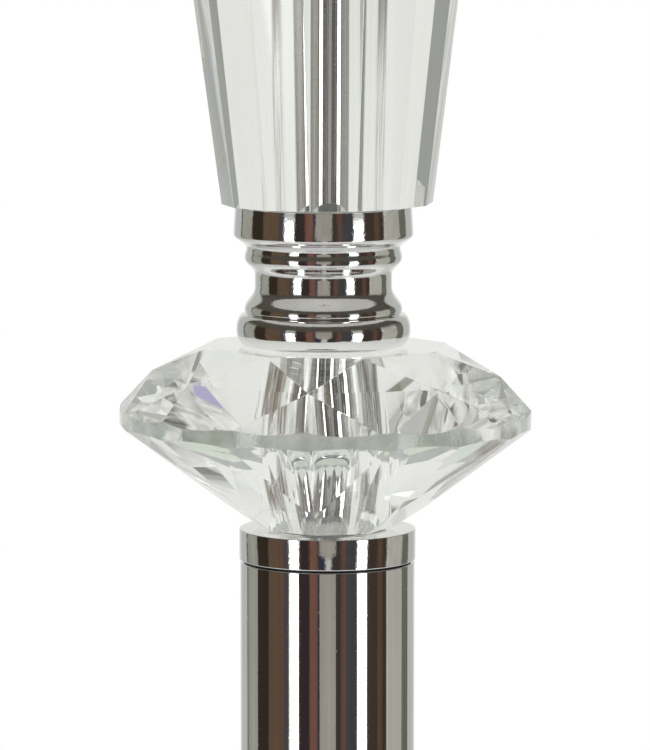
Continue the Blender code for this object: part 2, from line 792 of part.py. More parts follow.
def shade_foot_frame():
    # centre plate, three arms and the bottom wire are welded into one piece
    plate_radius = shade_nut_radius + shade_plate_margin
    plate_top = plate_z + shade_plate_thickness
    plate = tube("shade_foot_frame", plate_radius, holder_body_radius + gap, plate_z, plate_top, "steel")
    ring_radius = wire_ring_radius(foot_wire_z)
    wire = ring_bm(ring_radius, shade_wire_radius, foot_wire_z)
    add_boolean(plate, add_cutter("foot_wire", wire), "UNION")
    for k in range(shade_arm_count):
        angle = pi / 2 + 2 * pi * k / shade_arm_count
        towards = Vector((cos(angle), sin(angle), 0.0))
        arm = bmesh.new()
        inner = towards * (shade_nut_radius + shade_arm_start) + Vector((0, 0, (plate_z + plate_top) / 2))
        outer = towards * ring_radius + Vector((0, 0, foot_wire_z))
        rod_between(arm, inner, outer, shade_arm_radius)
        add_boolean(plate, add_cutter("shade_arm_" + str(k + 1), arm), "UNION")


def shade_cloth():
    z = shade_top - shade_wire_lift
    add_piece("shade_top_wire", ring_bm(wire_ring_radius(z), shade_wire_radius, z), "steel")
    profile = [(shade_foot_radius, shade_z), (shade_top_radius, shade_top),
               (shade_top_radius - shade_wall, shade_top), (shade_foot_radius - shade_wall, shade_z)]
    turned("shade_cloth", profile, "fabric", wide_steps)


def build_lamp():
    clear_scene()
    base_fixings()
    base_weight()
    base_cover()
    cord_gland()
    pole_foot()
    pole_tubes()
    pole_joint()
    cap_ring()
    glass_washers()
    sleeves()
    crystal_disc()
    stem_collar()
    crystal_column()
    column_cap()
    centre_rod()
    holder_cup()
    switch_block()
    switch_knob()
    holder_body()
    holder_metal()
    shade_nut()
    bulb()
    shade_foot_frame()
    shade_cloth()


build_lamp()
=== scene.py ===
from math import cos, pi, radians, sin, sqrt, tan
import bmesh
import bpy
from mathutils import Matrix, Vector


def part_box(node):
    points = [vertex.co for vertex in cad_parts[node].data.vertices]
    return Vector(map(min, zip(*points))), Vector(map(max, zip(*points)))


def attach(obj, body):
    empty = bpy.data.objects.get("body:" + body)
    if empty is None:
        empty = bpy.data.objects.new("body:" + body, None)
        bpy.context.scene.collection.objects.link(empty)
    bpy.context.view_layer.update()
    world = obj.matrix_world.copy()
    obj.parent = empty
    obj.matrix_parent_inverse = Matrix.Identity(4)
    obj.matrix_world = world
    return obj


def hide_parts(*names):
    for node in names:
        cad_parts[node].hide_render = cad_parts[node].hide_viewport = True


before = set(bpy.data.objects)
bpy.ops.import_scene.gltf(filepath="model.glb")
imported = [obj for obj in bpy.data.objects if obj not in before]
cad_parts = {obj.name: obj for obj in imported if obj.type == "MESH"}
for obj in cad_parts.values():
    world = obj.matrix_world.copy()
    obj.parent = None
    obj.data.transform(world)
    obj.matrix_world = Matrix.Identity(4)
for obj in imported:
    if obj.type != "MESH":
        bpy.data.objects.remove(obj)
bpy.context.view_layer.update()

mm = 0.001
print("frame loaded:", len(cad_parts), "nodes")


# what the CAD says about a piece

boxes = {node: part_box(node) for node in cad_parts}


def sizesOf(node):
    low, high = boxes[node]
    return low[2], high[2], high[0]


def lowOf(node):
    return sizesOf(node)[0]


def highOf(node):
    return sizesOf(node)[1]


def radiusOf(node):
    return sizesOf(node)[2]


# camera: a long lens a little above the glass, as in the photograph

camera = {
    "lens": 265.2,              # mm
    "frame": 36.0,              # mm, upright
    "tilt": 6.7,                # degrees down
    "distance": 1.2012,
    "nearest": 0.05,
    "farthest": 200.0,
    "aimOverSeam": 40.5 * mm,   # centre of the picture over the dark seam
    "aside": -0.53 * mm,        # the axis stands just right of the picture's middle
}


def addCamera():
    seamHeight = (highOf("upper_tube") + lowOf("cap_ring")) / 2
    aim = Vector((camera["aside"], 0, seamHeight + camera["aimOverSeam"]))
    tilt = radians(camera["tilt"])
    data = bpy.data.cameras.new("closeUp")
    data.lens = camera["lens"]
    data.sensor_width = camera["frame"]
    data.clip_start = camera["nearest"]
    data.clip_end = camera["farthest"]
    eye = bpy.data.objects.new("closeUp", data)
    eye.location = aim + camera["distance"] * Vector((0, -cos(tilt), sin(tilt)))
    eye.rotation_euler = (pi / 2 - tilt, 0, 0)
    bpy.context.collection.objects.link(eye)
    bpy.context.scene.camera = eye


addCamera()
bpy.context.scene.view_settings.view_transform = "Standard"
print("camera placed")


# node helpers; a value is a number, a colour, a vector or another node's output


def isOutput(value):
    return isinstance(value, bpy.types.NodeSocket)


def treeOf(*values):
    return next(value.id_data for value in values if isOutput(value))


def put(socket, value):
    if isOutput(value):
        socket.id_data.links.new(value, socket)
    elif socket.type == "RGBA":
        socket.default_value = (*value, 1.0)
    else:
        socket.default_value = value


def feed(node, **values):
    for key, value in values.items():
        put(node.inputs[key.replace("_", " ")], value)


def addNode(tree, kind, **values):
    node = tree.nodes.new("ShaderNode" + kind)
    for key in [key for key in values if hasattr(node, key)]:
        setattr(node, key, values.pop(key))
    feed(node, **values)
    return node


def math(operation, *values):
    node = addNode(treeOf(*values), "Math", operation=operation)
    for socket, value in zip(node.inputs, values):
        put(socket, value)
    return node.outputs[0]


def times(first, second):
    return math("MULTIPLY", first, second)


def plus(first, second):
    return math("ADD", first, second)


def minus(first, second):
    return math("SUBTRACT", first, second)


def mixColour(factor, first, second, blend="MIX"):
    node = addNode(treeOf(factor, first, second), "Mix", data_type="RGBA", blend_type=blend)
    for place, value in ((0, factor), (6, first), (7, second)):
        put(node.inputs[place], value)
    return node.outputs[2]


def mixShader(factor, first, second):
    node = addNode(treeOf(factor), "MixShader")
    for socket, value in zip(node.inputs, (factor, first, second)):
        put(socket, value)
    return node.outputs[0]


def spread(value, low, high):
    # widens a noise, which mostly lies between 0.3 and 0.7, to the range from low to high
    node = addNode(treeOf(value), "MapRange", Value=value, From_Min=0.3, From_Max=0.7, To_Min=low,
                   To_Max=high)
    return node.outputs["Result"]


def rising(value, low, high):
    # a soft step from 0 at low to 1 at high
    node = addNode(treeOf(value), "MapRange", interpolation_type="SMOOTHSTEP", Value=value, From_Min=low,
                   From_Max=high)
    return node.outputs["Result"]


def grey(level):
    return (level, level, level)


def newMaterial(name, colour, metallic=0.0, roughness=0.5, **sockets):
    material = bpy.data.materials.new(name)
    material.use_nodes = True
    tree = material.node_tree
    shader = tree.nodes["Principled BSDF"]
    feed(shader, Base_Color=colour, Metallic=metallic, Roughness=roughness, **sockets)
    return material, tree, shader


def newObject(name, bm):
    mesh = bpy.data.meshes.new(name)
    bm.to_mesh(mesh)
    bm.free()
    made = bpy.data.objects.new(name, mesh)
    bpy.context.collection.objects.link(made)
    return made


# studio: white behind the lamp, a dark room with two tall lamps in front, seen only in
# reflections and through the glass; directions are in degrees, and a span is from, to and, for
# one that ends again, how softly it does

studio = {
    "backdrop": (0.50, 0.51, 0.48),
    "rim": (0.80, 0.80, 0.78),   # far behind, seen along the very edges of the chrome
    "rimSpan": (150.0, 170.0),
    "floorGlow": (0.60, 0.60, 0.575),
    "floorSpan": (-130.0, -49.0, 2.0),
    "tableEdge": (0.05, 0.05, 0.045),
    "tableEdgeSpan": (-49.0, -45.0, 1.5),
    "ceiling": (0.17, 0.165, 0.145),
    "ceilingSpan": (37.0, 95.0),
    "mottle": 30.0,              # how far the ceiling's edge is broken up
    "upperRoom": (0.075, 0.07, 0.055),
    "upperSpan": (9.0, 23.0),
    "frontSpan": (-131.0, 130.0, 3.0),
    "diffuse": 0.62,
    # azimuth from the camera to the right, half-width, colour
    "panels": [
        ("leftEdge", -130.5, 1.6, (0.06, 0.06, 0.06)),
        ("rightFar", 130.5, 1.6, (0.09, 0.09, 0.08)),
        ("leftWall", -117.0, 12.0, (0.34, 0.34, 0.29)),
        ("leftDark", -94.0, 11.0, (0.035, 0.026, 0.018)),
        ("leftWood", -71.0, 12.5, (0.115, 0.075, 0.047)),
        ("leftShade", -56.0, 4.0, (0.07, 0.06, 0.065)),
        ("middleDark", -30.0, 8.0, (0.035, 0.026, 0.024)),
        ("redWood", -17.0, 6.5, (0.17, 0.085, 0.06)),
        ("navy", -8.0, 5.0, (0.035, 0.036, 0.055)),
        ("rightDark", 14.0, 9.0, (0.045, 0.038, 0.034)),
        ("rightWood", 20.5, 3.0, (0.12, 0.06, 0.042)),
        ("rightGrey", 31.0, 8.0, (0.055, 0.055, 0.056)),
        ("rightRoom", 69.0, 15.5, (0.05, 0.036, 0.028)),
        ("rightWood2", 73.0, 4.0, (0.10, 0.062, 0.042)),
        ("rightWall", 101.5, 14.0, (0.42, 0.41, 0.36)),
        ("rightEdge", 122.0, 7.0, (0.14, 0.15, 0.12)),
    ],
    "lamps": [("leftLamp", -44.5, 5.9), ("rightLamp", 46.3, 6.2)],
    "lampSpan": (-48.0, 5.0, 2.0),
    "lampEdge": 0.7,
    "lampColour": (3.4, 3.4, 3.4),
    # the pale wall behind the camera narrows towards the floor
    "wall": {"azimuth": 0.4, "half": 10.6, "narrowing": 3.3, "from": -7.8, "edge": 0.5,
             "colour": (0.33, 0.31, 0.27)},
    "softEdge": 0.9,
    "wobble": 1.5,            # degrees that the panels' edges wander
    "streak": 0.55,           # how much the panels vary in brightness
    # noise by direction: scale across, scale upright, detail
    "grains": {"wander": (0.25, 0.12, 3.0), "streaks": (0.55, 0.03, 4.0), "clouds": (0.06, 0.09, 3.0),
               "tone": (0.16, 0.22, 2.0), "gaps": (0.42, 0.05, 3.0)},
    "clearer": 0.04,          # how much paler the room is through the glass
    "dull": 0.55,             # and how much greyer
    # through the glass the sides are pale, and a little less so over the dusk's heights
    "pale": ((0.42, 0.42, 0.38), (0.92, 0.92, 0.89)),
    "paleSpan": (50.0, 66.0),
    "dusk": 0.60,
    "duskSpan": (-33.0, -8.0, 4.0),
    "behind": (0.84, 0.84, 0.81),
    "behindSpan": (126.0, 136.0),
    "chests": ((0.115, 0.080, 0.048), (0.12, 0.115, 0.095)),
    "chestTurn": (-20.0, 20.0),
    "chestHeights": (-12.0, 9.0, 2.0),
    "chestSpan": (52.0, 128.0, 4.0),
    "chestLeast": 0.25,       # where the gaps are palest
    "longWay": 2.5,           # reflections
    "longWayPale": 0.65,
    "overhead": (0.30, 0.30, 0.27),
    "overheadSpan": (58.0, 68.0),
    "glintEdge": 0.6,
    # small coloured things that the facets pick out: azimuth, height, half-sizes, colour
    "glints": [
        ("violet", 105.0, 22.0, 4.0, 4.0, (0.42, 0.40, 0.60)),
        ("night", 96.0, 40.0, 6.0, 4.5, (0.10, 0.10, 0.12)),
        ("blue", -137.0, -35.0, 4.0, 4.0, (0.44, 0.52, 0.80)),
        ("blue2", -50.0, 0.5, 2.0, 2.0, (0.42, 0.50, 0.76)),
        ("slate", -84.0, 27.0, 3.0, 2.0, (0.13, 0.14, 0.125)),
        ("umber", -75.0, 29.5, 2.5, 2.5, (0.20, 0.18, 0.14)),
        ("umber2", -91.5, 36.0, 2.5, 2.0, (0.16, 0.16, 0.12)),
        ("pink", -94.0, 22.0, 3.0, 3.5, (0.62, 0.47, 0.40)),
        ("orange", -88.0, 15.5, 1.5, 1.5, (0.70, 0.20, 0.06)),
        ("indigo", -71.0, -31.0, 4.0, 3.0, (0.26, 0.25, 0.40)),
        ("cream", 25.5, -9.0, 2.5, 2.5, (0.84, 0.74, 0.52)),
        ("cream2", 55.0, 28.0, 6.0, 5.0, (0.92, 0.87, 0.74)),
        ("cream3", -48.0, -46.0, 7.0, 6.0, (0.90, 0.87, 0.76)),
        ("stone", -160.0, 3.5, 2.5, 1.8, (0.22, 0.22, 0.175)),
        ("stone2", 138.0, -15.0, 2.5, 2.5, (0.17, 0.17, 0.155)),
        ("brown", -127.0, -54.0, 3.0, 2.0, (0.34, 0.26, 0.20)),
        ("drab", -108.0, -64.0, 7.0, 4.0, (0.20, 0.20, 0.16)),
    ],
}


def softBand(value, centre, half, soft):
    away = math("ABSOLUTE", minus(value, centre))
    if isOutput(half):
        return rising(away, plus(half, soft), plus(half, -soft))
    return rising(away, half + soft, half - soft)


def rangeBand(value, low, high, soft):
    return softBand(value, (low + high) / 2, (high - low) / 2, soft)


def directionNoise(azimuth, height, grain):
    across, upright, detail = studio["grains"][grain]
    tree = treeOf(azimuth)
    place = addNode(tree, "CombineXYZ", X=times(azimuth, across), Y=times(height, upright))
    noise = addNode(tree, "TexNoise", Vector=place.outputs[0], Scale=1.0, Detail=detail, Roughness=0.6)
    return noise.outputs["Fac"]


def layered(colour, layers):
    for share, tint in layers:
        colour = mixColour(share, colour, tint)
    return colour


def roomColour(azimuth, height):
    # what stands round the lamp, without its two lamps
    wander = minus(directionNoise(azimuth, height, "wander"), 0.5)
    straying = plus(azimuth, times(wander, 2 * studio["wobble"]))
    colour = layered(studio["backdrop"], [
        (softBand(straying, centre, half, studio["softEdge"]), tint)
        for name, centre, half, tint in studio["panels"]])
    wall = studio["wall"]
    fall = times(minus(height, wall["from"]), wall["narrowing"])
    wide = plus(math("MINIMUM", fall, 0.0), wall["half"])
    colour = mixColour(softBand(straying, wall["azimuth"], wide, wall["edge"]), colour, wall["colour"])
    streaks = directionNoise(azimuth, height, "streaks")
    clouds = directionNoise(azimuth, height, "clouds")
    light = plus(times(streaks, 0.6), times(clouds, 0.6))
    factor = plus(times(minus(light, 0.6), 2 * studio["streak"]), 1.0)
    inFront = rangeBand(azimuth, *studio["frontSpan"])
    mottled = plus(height, times(clouds, studio["mottle"]))
    return layered(colour, [
        (inFront, mixColour(1.0, colour, factor, "MULTIPLY")),
        (rising(math("ABSOLUTE", azimuth), *studio["rimSpan"]), studio["rim"]),
        (rising(height, *studio["upperSpan"]), mixColour(inFront, studio["backdrop"], studio["upperRoom"])),
        (rising(mottled, *studio["ceilingSpan"]), studio["ceiling"]),
        (rangeBand(height, *studio["tableEdgeSpan"]), studio["tableEdge"]),
        (rangeBand(height, *studio["floorSpan"]), studio["floorGlow"])])


def throughGlass(azimuth, height, room):
    # the same room through the glass: pale at the sides and behind, with small glints
    aside = math("ABSOLUTE", azimuth)
    tone = directionNoise(azimuth, height, "tone")
    pale = mixColour(spread(tone, 0.0, 1.0), *studio["pale"])
    dusk = rangeBand(height, *studio["duskSpan"])
    share = minus(1.0, times(dusk, studio["dusk"]))
    share = times(share, rising(aside, *studio["paleSpan"]))
    dull = addNode(treeOf(room), "RGBToBW", Color=room).outputs[0]
    # low furniture at the sides: brown at the left, grey at the right, with pale gaps
    chest = mixColour(rising(azimuth, *studio["chestTurn"]), *studio["chests"])
    gaps = directionNoise(azimuth, height, "gaps")
    closed = minus(1.0, spread(gaps, 0.0, 1.0))
    chestShare = times(rangeBand(height, *studio["chestHeights"]), rangeBand(aside, *studio["chestSpan"]))
    chestShare = times(chestShare, spread(closed, studio["chestLeast"], 1.0))
    reflections = addNode(treeOf(room), "LightPath").outputs["Glossy Depth"]
    farIn = math("GREATER_THAN", reflections, studio["longWay"])
    layers = [
        (studio["dull"], dull),
        (studio["clearer"], studio["behind"]),
        (share, pale),
        (rising(aside, *studio["behindSpan"]), studio["behind"]),
        (chestShare, chest),
        (rising(height, *studio["overheadSpan"]), studio["overhead"]),
        (times(farIn, studio["longWayPale"]), pale)]
    edge = studio["glintEdge"]
    for name, across, up, halfAcross, halfUp, tint in studio["glints"]:
        layers.append((times(softBand(azimuth, across, halfAcross, edge),
                             softBand(height, up, halfUp, edge)), tint))
    return layered(room, layers)


def addLampsTo(colour, azimuth, height):
    upright = rangeBand(height, *studio["lampSpan"])
    return layered(colour, [
        (times(softBand(azimuth, centre, half, studio["lampEdge"]), upright), studio["lampColour"])
        for name, centre, half in studio["lamps"]])


def buildWorld():
    world = bpy.data.worlds.new("studio")
    bpy.context.scene.world = world
    world.use_nodes = True
    tree = world.node_tree
    tree.nodes.clear()
    way = addNode(tree, "TexCoord").outputs["Generated"]
    x, y, z = addNode(tree, "SeparateXYZ", Vector=way).outputs
    azimuth = math("DEGREES", math("ARCTAN2", x, times(y, -1.0)))
    height = math("DEGREES", math("ARCSINE", z))
    path = addNode(tree, "LightPath").outputs
    room = roomColour(azimuth, height)
    room = mixColour(path["Is Transmission Ray"], room, throughGlass(azimuth, height, room))
    seen = addNode(tree, "Background", Color=addLampsTo(room, azimuth, height))
    plain = addNode(tree, "Background", Color=grey(1.0), Strength=studio["diffuse"])
    white = addNode(tree, "Background", Color=grey(1.0), Strength=1.0)
    mirrored = math("MAXIMUM", path["Is Glossy Ray"], path["Is Transmission Ray"])
    lit = mixShader(mirrored, plain.outputs[0], seen.outputs[0])
    addNode(tree, "OutputWorld", Surface=mixShader(path["Is Camera Ray"], lit, white.outputs[0]))


buildWorld()

lightAim = (0, 0, 0.8)
lights = {
    "key": {"place": (-1.4, -1.8, 2.9), "size": 1.8, "power": 26.0},
    "fill": {"place": (1.9, -1.2, 2.2), "size": 2.0, "power": 12.0},
    "back": {"place": (0.3, 2.2, 2.6), "size": 1.6, "power": 10.0},
}


def addLights():
    for name, value in lights.items():
        data = bpy.data.lights.new(name, "AREA")
        data.shape = "DISK"
        data.size = value["size"]
        data.energy = value["power"]
        lamp = bpy.data.objects.new(name, data)
        lamp.location = value["place"]
        way = Vector(lightAim) - Vector(value["place"])
        lamp.rotation_euler = way.to_track_quat("-Z", "Y").to_euler()
        lamp.visible_glossy = False
        lamp.visible_transmission = False
        bpy.context.collection.objects.link(lamp)


addLights()

floorValues = {"radius": 4.0, "fade": (1.2, 3.4), "colour": (0.80, 0.80, 0.79), "roughness": 0.85,
               "shine": 0.2, "throughGlass": (0.84, 0.84, 0.81)}


def addFloor():
    bm = bmesh.new()
    bmesh.ops.create_circle(bm, cap_ends=True, segments=96, radius=floorValues["radius"])
    floor = newObject("studioFloor", bm)
    material, tree, shader = newMaterial("paleFloor", floorValues["colour"], 0.0, floorValues["roughness"],
                                         Specular_IOR_Level=floorValues["shine"])
    place = addNode(tree, "TexCoord").outputs["Object"]
    length = addNode(tree, "VectorMath", operation="LENGTH", Vector=place).outputs["Value"]
    pale = addNode(tree, "Emission", Strength=1.0, Color=floorValues["throughGlass"]).outputs[0]
    clear = addNode(tree, "BsdfTransparent").outputs[0]
    inGlass = addNode(tree, "LightPath").outputs["Is Transmission Ray"]
    seen = mixShader(inGlass, shader.outputs[0], pale)
    whole = mixShader(rising(length, *floorValues["fade"]), seen, clear)
    feed(tree.nodes["Material Output"], Surface=whole)
    floor.data.materials.append(material)


addFloor()
print("studio set")


# materials; a noise is scale per metre, detail, roughness and stretch


def objectPlace(tree, stretch):
    place = addNode(tree, "TexCoord").outputs["Object"]
    return addNode(tree, "Mapping", Vector=place, Scale=stretch).outputs[0]


def objectNoise(tree, scale, detail=2.0, roughness=0.5, stretch=(1, 1, 1)):
    noise = addNode(tree, "TexNoise", Vector=objectPlace(tree, stretch), Scale=scale, Detail=detail,
                    Roughness=roughness)
    return noise.outputs["Fac"]


def objectSpots(tree, scale, size):
    # small separate dots, 1 in a dot and 0 elsewhere
    cells = addNode(tree, "TexVoronoi", Vector=objectPlace(tree, (1, 1, 1)), Scale=scale, Randomness=1.0)
    return rising(cells.outputs["Distance"], size, size * 0.4)


def addBump(shader, height, depth, before=None):
    bump = addNode(treeOf(height), "Bump", Strength=1.0, Distance=depth, Height=height)
    if before is not None:
        feed(bump, Normal=before)
    feed(shader, Normal=bump.outputs[0])
    return bump.outputs[0]


chrome = {
    "colour": (0.86, 0.86, 0.855),
    "dim": 0.82,
    "roughness": (0.025, 0.06),
    "patches": 60.0,          # per metre
    "grain": 2300.0,
    "wave": 260.0,
    "waveDepth": 0.0000030,
    "pits": 420.0,
    "pitSize": 0.10,
    "pitDepth": 0.000004,
}


def makeChrome(name, grainDepth):
    material, tree, shader = newMaterial(name, chrome["colour"], 1.0)
    patches = objectNoise(tree, chrome["patches"], 3.0)
    tint = mixColour(spread(patches, 0.0, 1.0), chrome["colour"], grey(chrome["dim"]))
    feed(shader, Roughness=spread(patches, *chrome["roughness"]), Base_Color=tint)
    grain = addBump(shader, objectNoise(tree, chrome["grain"]), grainDepth)
    wave = addBump(shader, objectNoise(tree, chrome["wave"], 1.0), chrome["waveDepth"], grain)
    addBump(shader, objectSpots(tree, chrome["pits"], chrome["pitSize"]), chrome["pitDepth"], wave)
    return material


glass = {
    "colour": (0.985, 0.995, 0.985),
    "ior": 1.53,
    "tint": (0.84, 0.88, 0.83),
    "density": 1.6,
    "ripple": (45.0, 1.0),
    "rippleDepth": 0.0000020,
    "longWay": 3.5,           # reflections
    # strength and colour of the glass's painted glow on long ways
    "paintedGlow": 0.20,
    "paintedGlowColour": (0.88, 0.90, 0.86),
    # the ground edge is half polished, with small chips along it
    "edgeColour": (0.99, 0.995, 0.985),
    "edgeClear": 0.98,
    # painted glow of the ground edge, in patches
    "edgeGlow": 0.24,
    "edgeGlowNoise": (240.0, 3.0),
    "edgeSwell": (160.0, 2.0, 0.5, (1, 1, 0.35)),
    "edgeSwellDepth": 0.00013,
    "edgeChips": (1100.0, 3.0, 0.6),
    "edgeChipDepth": 0.00003,
    "edgePatches": (300.0, 3.0),
    "edgeRoughness": (0.0, 0.04),
}


def makeGlass(name, roughEdge=False):
    material, tree, shader = newMaterial(
        name, glass["colour"], 0.0, 0.0, Transmission_Weight=1.0, IOR=glass["ior"])
    # painted glow: the glass emits a pale light where a ray has reflected many times inside it, in place of
    # light that gathers on such very long ways through the glass, which would else end black
    reflections = addNode(tree, "LightPath").outputs["Glossy Depth"]
    paintedGlow = times(math("GREATER_THAN", reflections, glass["longWay"]), glass["paintedGlow"])
    if roughEdge:
        patches = objectNoise(tree, *glass["edgePatches"])
        feed(shader, Base_Color=glass["edgeColour"], Transmission_Weight=glass["edgeClear"],
             Roughness=spread(patches, *glass["edgeRoughness"]))
        swell = addBump(shader, objectNoise(tree, *glass["edgeSwell"]), glass["edgeSwellDepth"])
        addBump(shader, objectNoise(tree, *glass["edgeChips"]), glass["edgeChipDepth"], swell)
        # painted glow: the ground edge emits a little light in patches, in place of its tiny ground flats
        # catching light from all sides
        edgeGlowSpots = times(objectNoise(tree, *glass["edgeGlowNoise"]), glass["edgeGlow"])
        paintedGlow = plus(paintedGlow, edgeGlowSpots)
    else:
        addBump(shader, objectNoise(tree, *glass["ripple"]), glass["rippleDepth"])
    feed(shader, Emission_Strength=paintedGlow, Emission_Color=glass["paintedGlowColour"])
    body = addNode(tree, "VolumeAbsorption", Density=glass["density"], Color=glass["tint"])
    feed(tree.nodes["Material Output"], Volume=body.outputs[0])
    return material


def makePlain(name, first, second, metallic, roughness, noise, depth, **sockets):
    # one noise mixes the two colours, varies the roughness if it is a pair, and is the bump
    material, tree, shader = newMaterial(name, first, metallic, **sockets)
    skin = objectNoise(tree, *noise)
    if isinstance(roughness, tuple):
        roughness = spread(skin, *roughness)
    feed(shader, Base_Color=mixColour(skin, first, second), Roughness=roughness)
    addBump(shader, skin, depth)
    return material


def darker(colour, share):
    return tuple(c * share for c in colour)


def makeBrushed(name, colour, roughness):
    return makePlain(name, colour, darker(colour, 0.75), 1.0, (roughness * 0.7, roughness * 1.4),
                     (700.0, 3.0, 0.6, (1, 1, 0.15)), 0.000012)


def makePlastic(name, colour, roughness):
    return makePlain(name, colour, darker(colour, 0.9), 0.0, (roughness * 0.8, roughness * 1.25),
                     (900.0, 3.0, 0.6), 0.00002)


cloth = {
    "thread": 0.00062,        # metres from one thread to the next
    "colour": (0.84, 0.80, 0.72),
    "dark": (0.70, 0.65, 0.56),
    "slubStretch": (0.6, 60.0, 1.0),
    "slub": 0.8,              # how much the thicker threads show
    "bright": 0.62,
    "depth": 0.00012,
}


def threads(across):
    # rounded ridges, one for each thread
    return math("ABSOLUTE", math("SINE", times(across, pi / cloth["thread"])))


def makeCloth():
    material, tree, shader = newMaterial("linenShade", cloth["colour"], 0.0, 0.85, Sheen_Weight=0.15)
    uv = addNode(tree, "TexCoord").outputs["UV"]
    across, along = addNode(tree, "SeparateXYZ", Vector=uv).outputs[:2]
    drawn = addNode(tree, "Mapping", Vector=uv, Scale=cloth["slubStretch"]).outputs[0]
    slub = addNode(tree, "TexNoise", Vector=drawn, Scale=9.0, Detail=4.0).outputs["Fac"]
    weave = times(plus(threads(across), threads(along)), 0.5)
    weave = plus(weave, times(slub, cloth["slub"]))
    # painted shade: the linen is darker between the threads, in the weave's hollows; the slubs add the
    # linen's own light and dark tone
    toneAndPaintedShade = times(weave, cloth["bright"])
    feed(shader, Base_Color=mixColour(toneAndPaintedShade, cloth["dark"], cloth["colour"]))
    addBump(shader, weave, cloth["depth"])
    return material


materials = {
    "chrome": makeChrome("chromePlate", 0.0000018),
    "castChrome": makeChrome("castChrome", 0.000011),
    "glass": makeGlass("cutGlass"),
    "glassEdge": makeGlass("groundEdge", roughEdge=True),
    "steel": makeBrushed("zincSteel", (0.60, 0.59, 0.57), 0.35),
    "brass": makeBrushed("stampedBrass", (0.75, 0.58, 0.27), 0.28),
    "castIron": makePlain("castIron", (0.035, 0.035, 0.037), grey(0.09), 0.3, (0.5, 0.8),
                          (420.0, 5.0, 0.7), 0.0003),
    "black": makePlastic("blackPlastic", (0.02, 0.02, 0.021), 0.42),
    "ivory": makePlastic("ivoryPlastic", (0.80, 0.79, 0.74), 0.30),
    "clearPlastic": makePlastic("clearWasher", (0.70, 0.70, 0.66), 0.35),
    "whiteSteel": makePlastic("whiteLacquer", (0.82, 0.82, 0.79), 0.32),
    "felt": makePlain("pressedFelt", (0.018, 0.018, 0.02), (0.06, 0.06, 0.065), 0.0, 0.95,
                      (1300.0, 6.0, 0.75), 0.0005, Sheen_Weight=0.35),
    "bulb": makePlain("frostedBulb", (0.95, 0.95, 0.93), (0.90, 0.90, 0.88), 0.0, 0.28,
                      (80.0, 2.0), 0.00005, Coat_Weight=0.6, Coat_Roughness=0.05),
    "cloth": makeCloth(),
    "lining": makePlain("shadeLining", (0.90, 0.89, 0.85), grey(0.84), 0.0, 0.45, (300.0, 3.0), 0.00003),
}
print("materials made:", len(materials))


# carried-over CAD pieces get their finish here

carried = {
    "castIron": ["base_weight"],
    "steel": ["base_washer", "base_nut", "base_stud", "foot_insert", "lower_tube_insert", "joint_stud",
              "upper_tube_insert", "top_insert", "rod_nut", "centre_rod", "holder_nut"],
    "brass": ["centre_contact", "switch_shaft"],
    "black": ["switch_block"],
    "clearPlastic": ["disc_foot_washer", "disc_top_washer", "column_foot_washer", "column_top_washer"],
}


def finishCarried():
    for finish, nodes in carried.items():
        for node in nodes:
            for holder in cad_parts[node].material_slots:
                holder.material = materials[finish]


finishCarried()


# mesh helpers; profiles are (radius, height) points


def arcPoints(centre, radius, start, end, steps):
    points = []
    for i in range(steps + 1):
        angle = radians(start + (end - start) * i / steps)
        points.append((centre[0] + radius * cos(angle), centre[1] + radius * sin(angle)))
    return points


def topRound(outer, top, radius, steps, start=0, end=90):
    return arcPoints((outer - radius, top - radius), radius, start, end, steps)


def footRound(outer, low, radius, steps, start=-90, end=0):
    return arcPoints((outer - radius, low + radius), radius, start, end, steps)


def spin(bm, steps):
    bmesh.ops.spin(bm, geom=bm.verts[:] + bm.edges[:], cent=(0, 0, 0), axis=(0, 0, 1), dvec=(0, 0, 0),
                   angle=2 * pi, steps=steps, use_merge=True, use_duplicate=False)
    bmesh.ops.remove_doubles(bm, verts=bm.verts, dist=1e-7)
    bmesh.ops.recalc_face_normals(bm, faces=bm.faces)


def turnedMesh(profile, steps=128, closed=True):
    bm = bmesh.new()
    verts = [bm.verts.new((radius, 0, z)) for radius, z in profile]
    for pair in zip(verts, verts[1:]):
        bm.edges.new(pair)
    if closed:
        bm.edges.new((verts[-1], verts[0]))
    spin(bm, steps)
    return bm


def addPiece(name, bm, finishes, replaced, body="lamp", sharp=32.0, smooth=True):
    piece = newObject(name, bm)
    if smooth:
        piece.data.shade_smooth()
        piece.data.set_sharp_from_angle(angle=radians(sharp))
    for finish in finishes.split():
        piece.data.materials.append(materials[finish])
    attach(piece, body)
    if replaced:
        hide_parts(replaced)
    return piece


def softCorner(corner, before, after, radius, steps=4):
    # rounds one corner of a profile
    here = Vector(corner)
    toBefore, toAfter = Vector(before) - here, Vector(after) - here
    reach = min(radius / tan(toBefore.normalized().angle(toAfter.normalized()) / 2),
                toBefore.length * 0.49, toAfter.length * 0.49)
    start, end = here + toBefore.normalized() * reach, here + toAfter.normalized() * reach
    points = []
    for i in range(steps + 1):
        t = i / steps
        points.append(tuple((1 - t) ** 2 * start + 2 * t * (1 - t) * here + t ** 2 * end))
    return points


def softened(profile, radius, steps=4):
    # rounds every corner of a closed profile
    points = []
    for i, corner in enumerate(profile):
        points += softCorner(corner, profile[i - 1], profile[(i + 1) % len(profile)], radius, steps)
    return points


def ringProfile(outer, inner, low, high, soft, steps=4):
    return softened([(outer, low), (outer, high), (inner, high), (inner, low)], soft, steps)


# chrome stem: tubes, rings and the turned collar

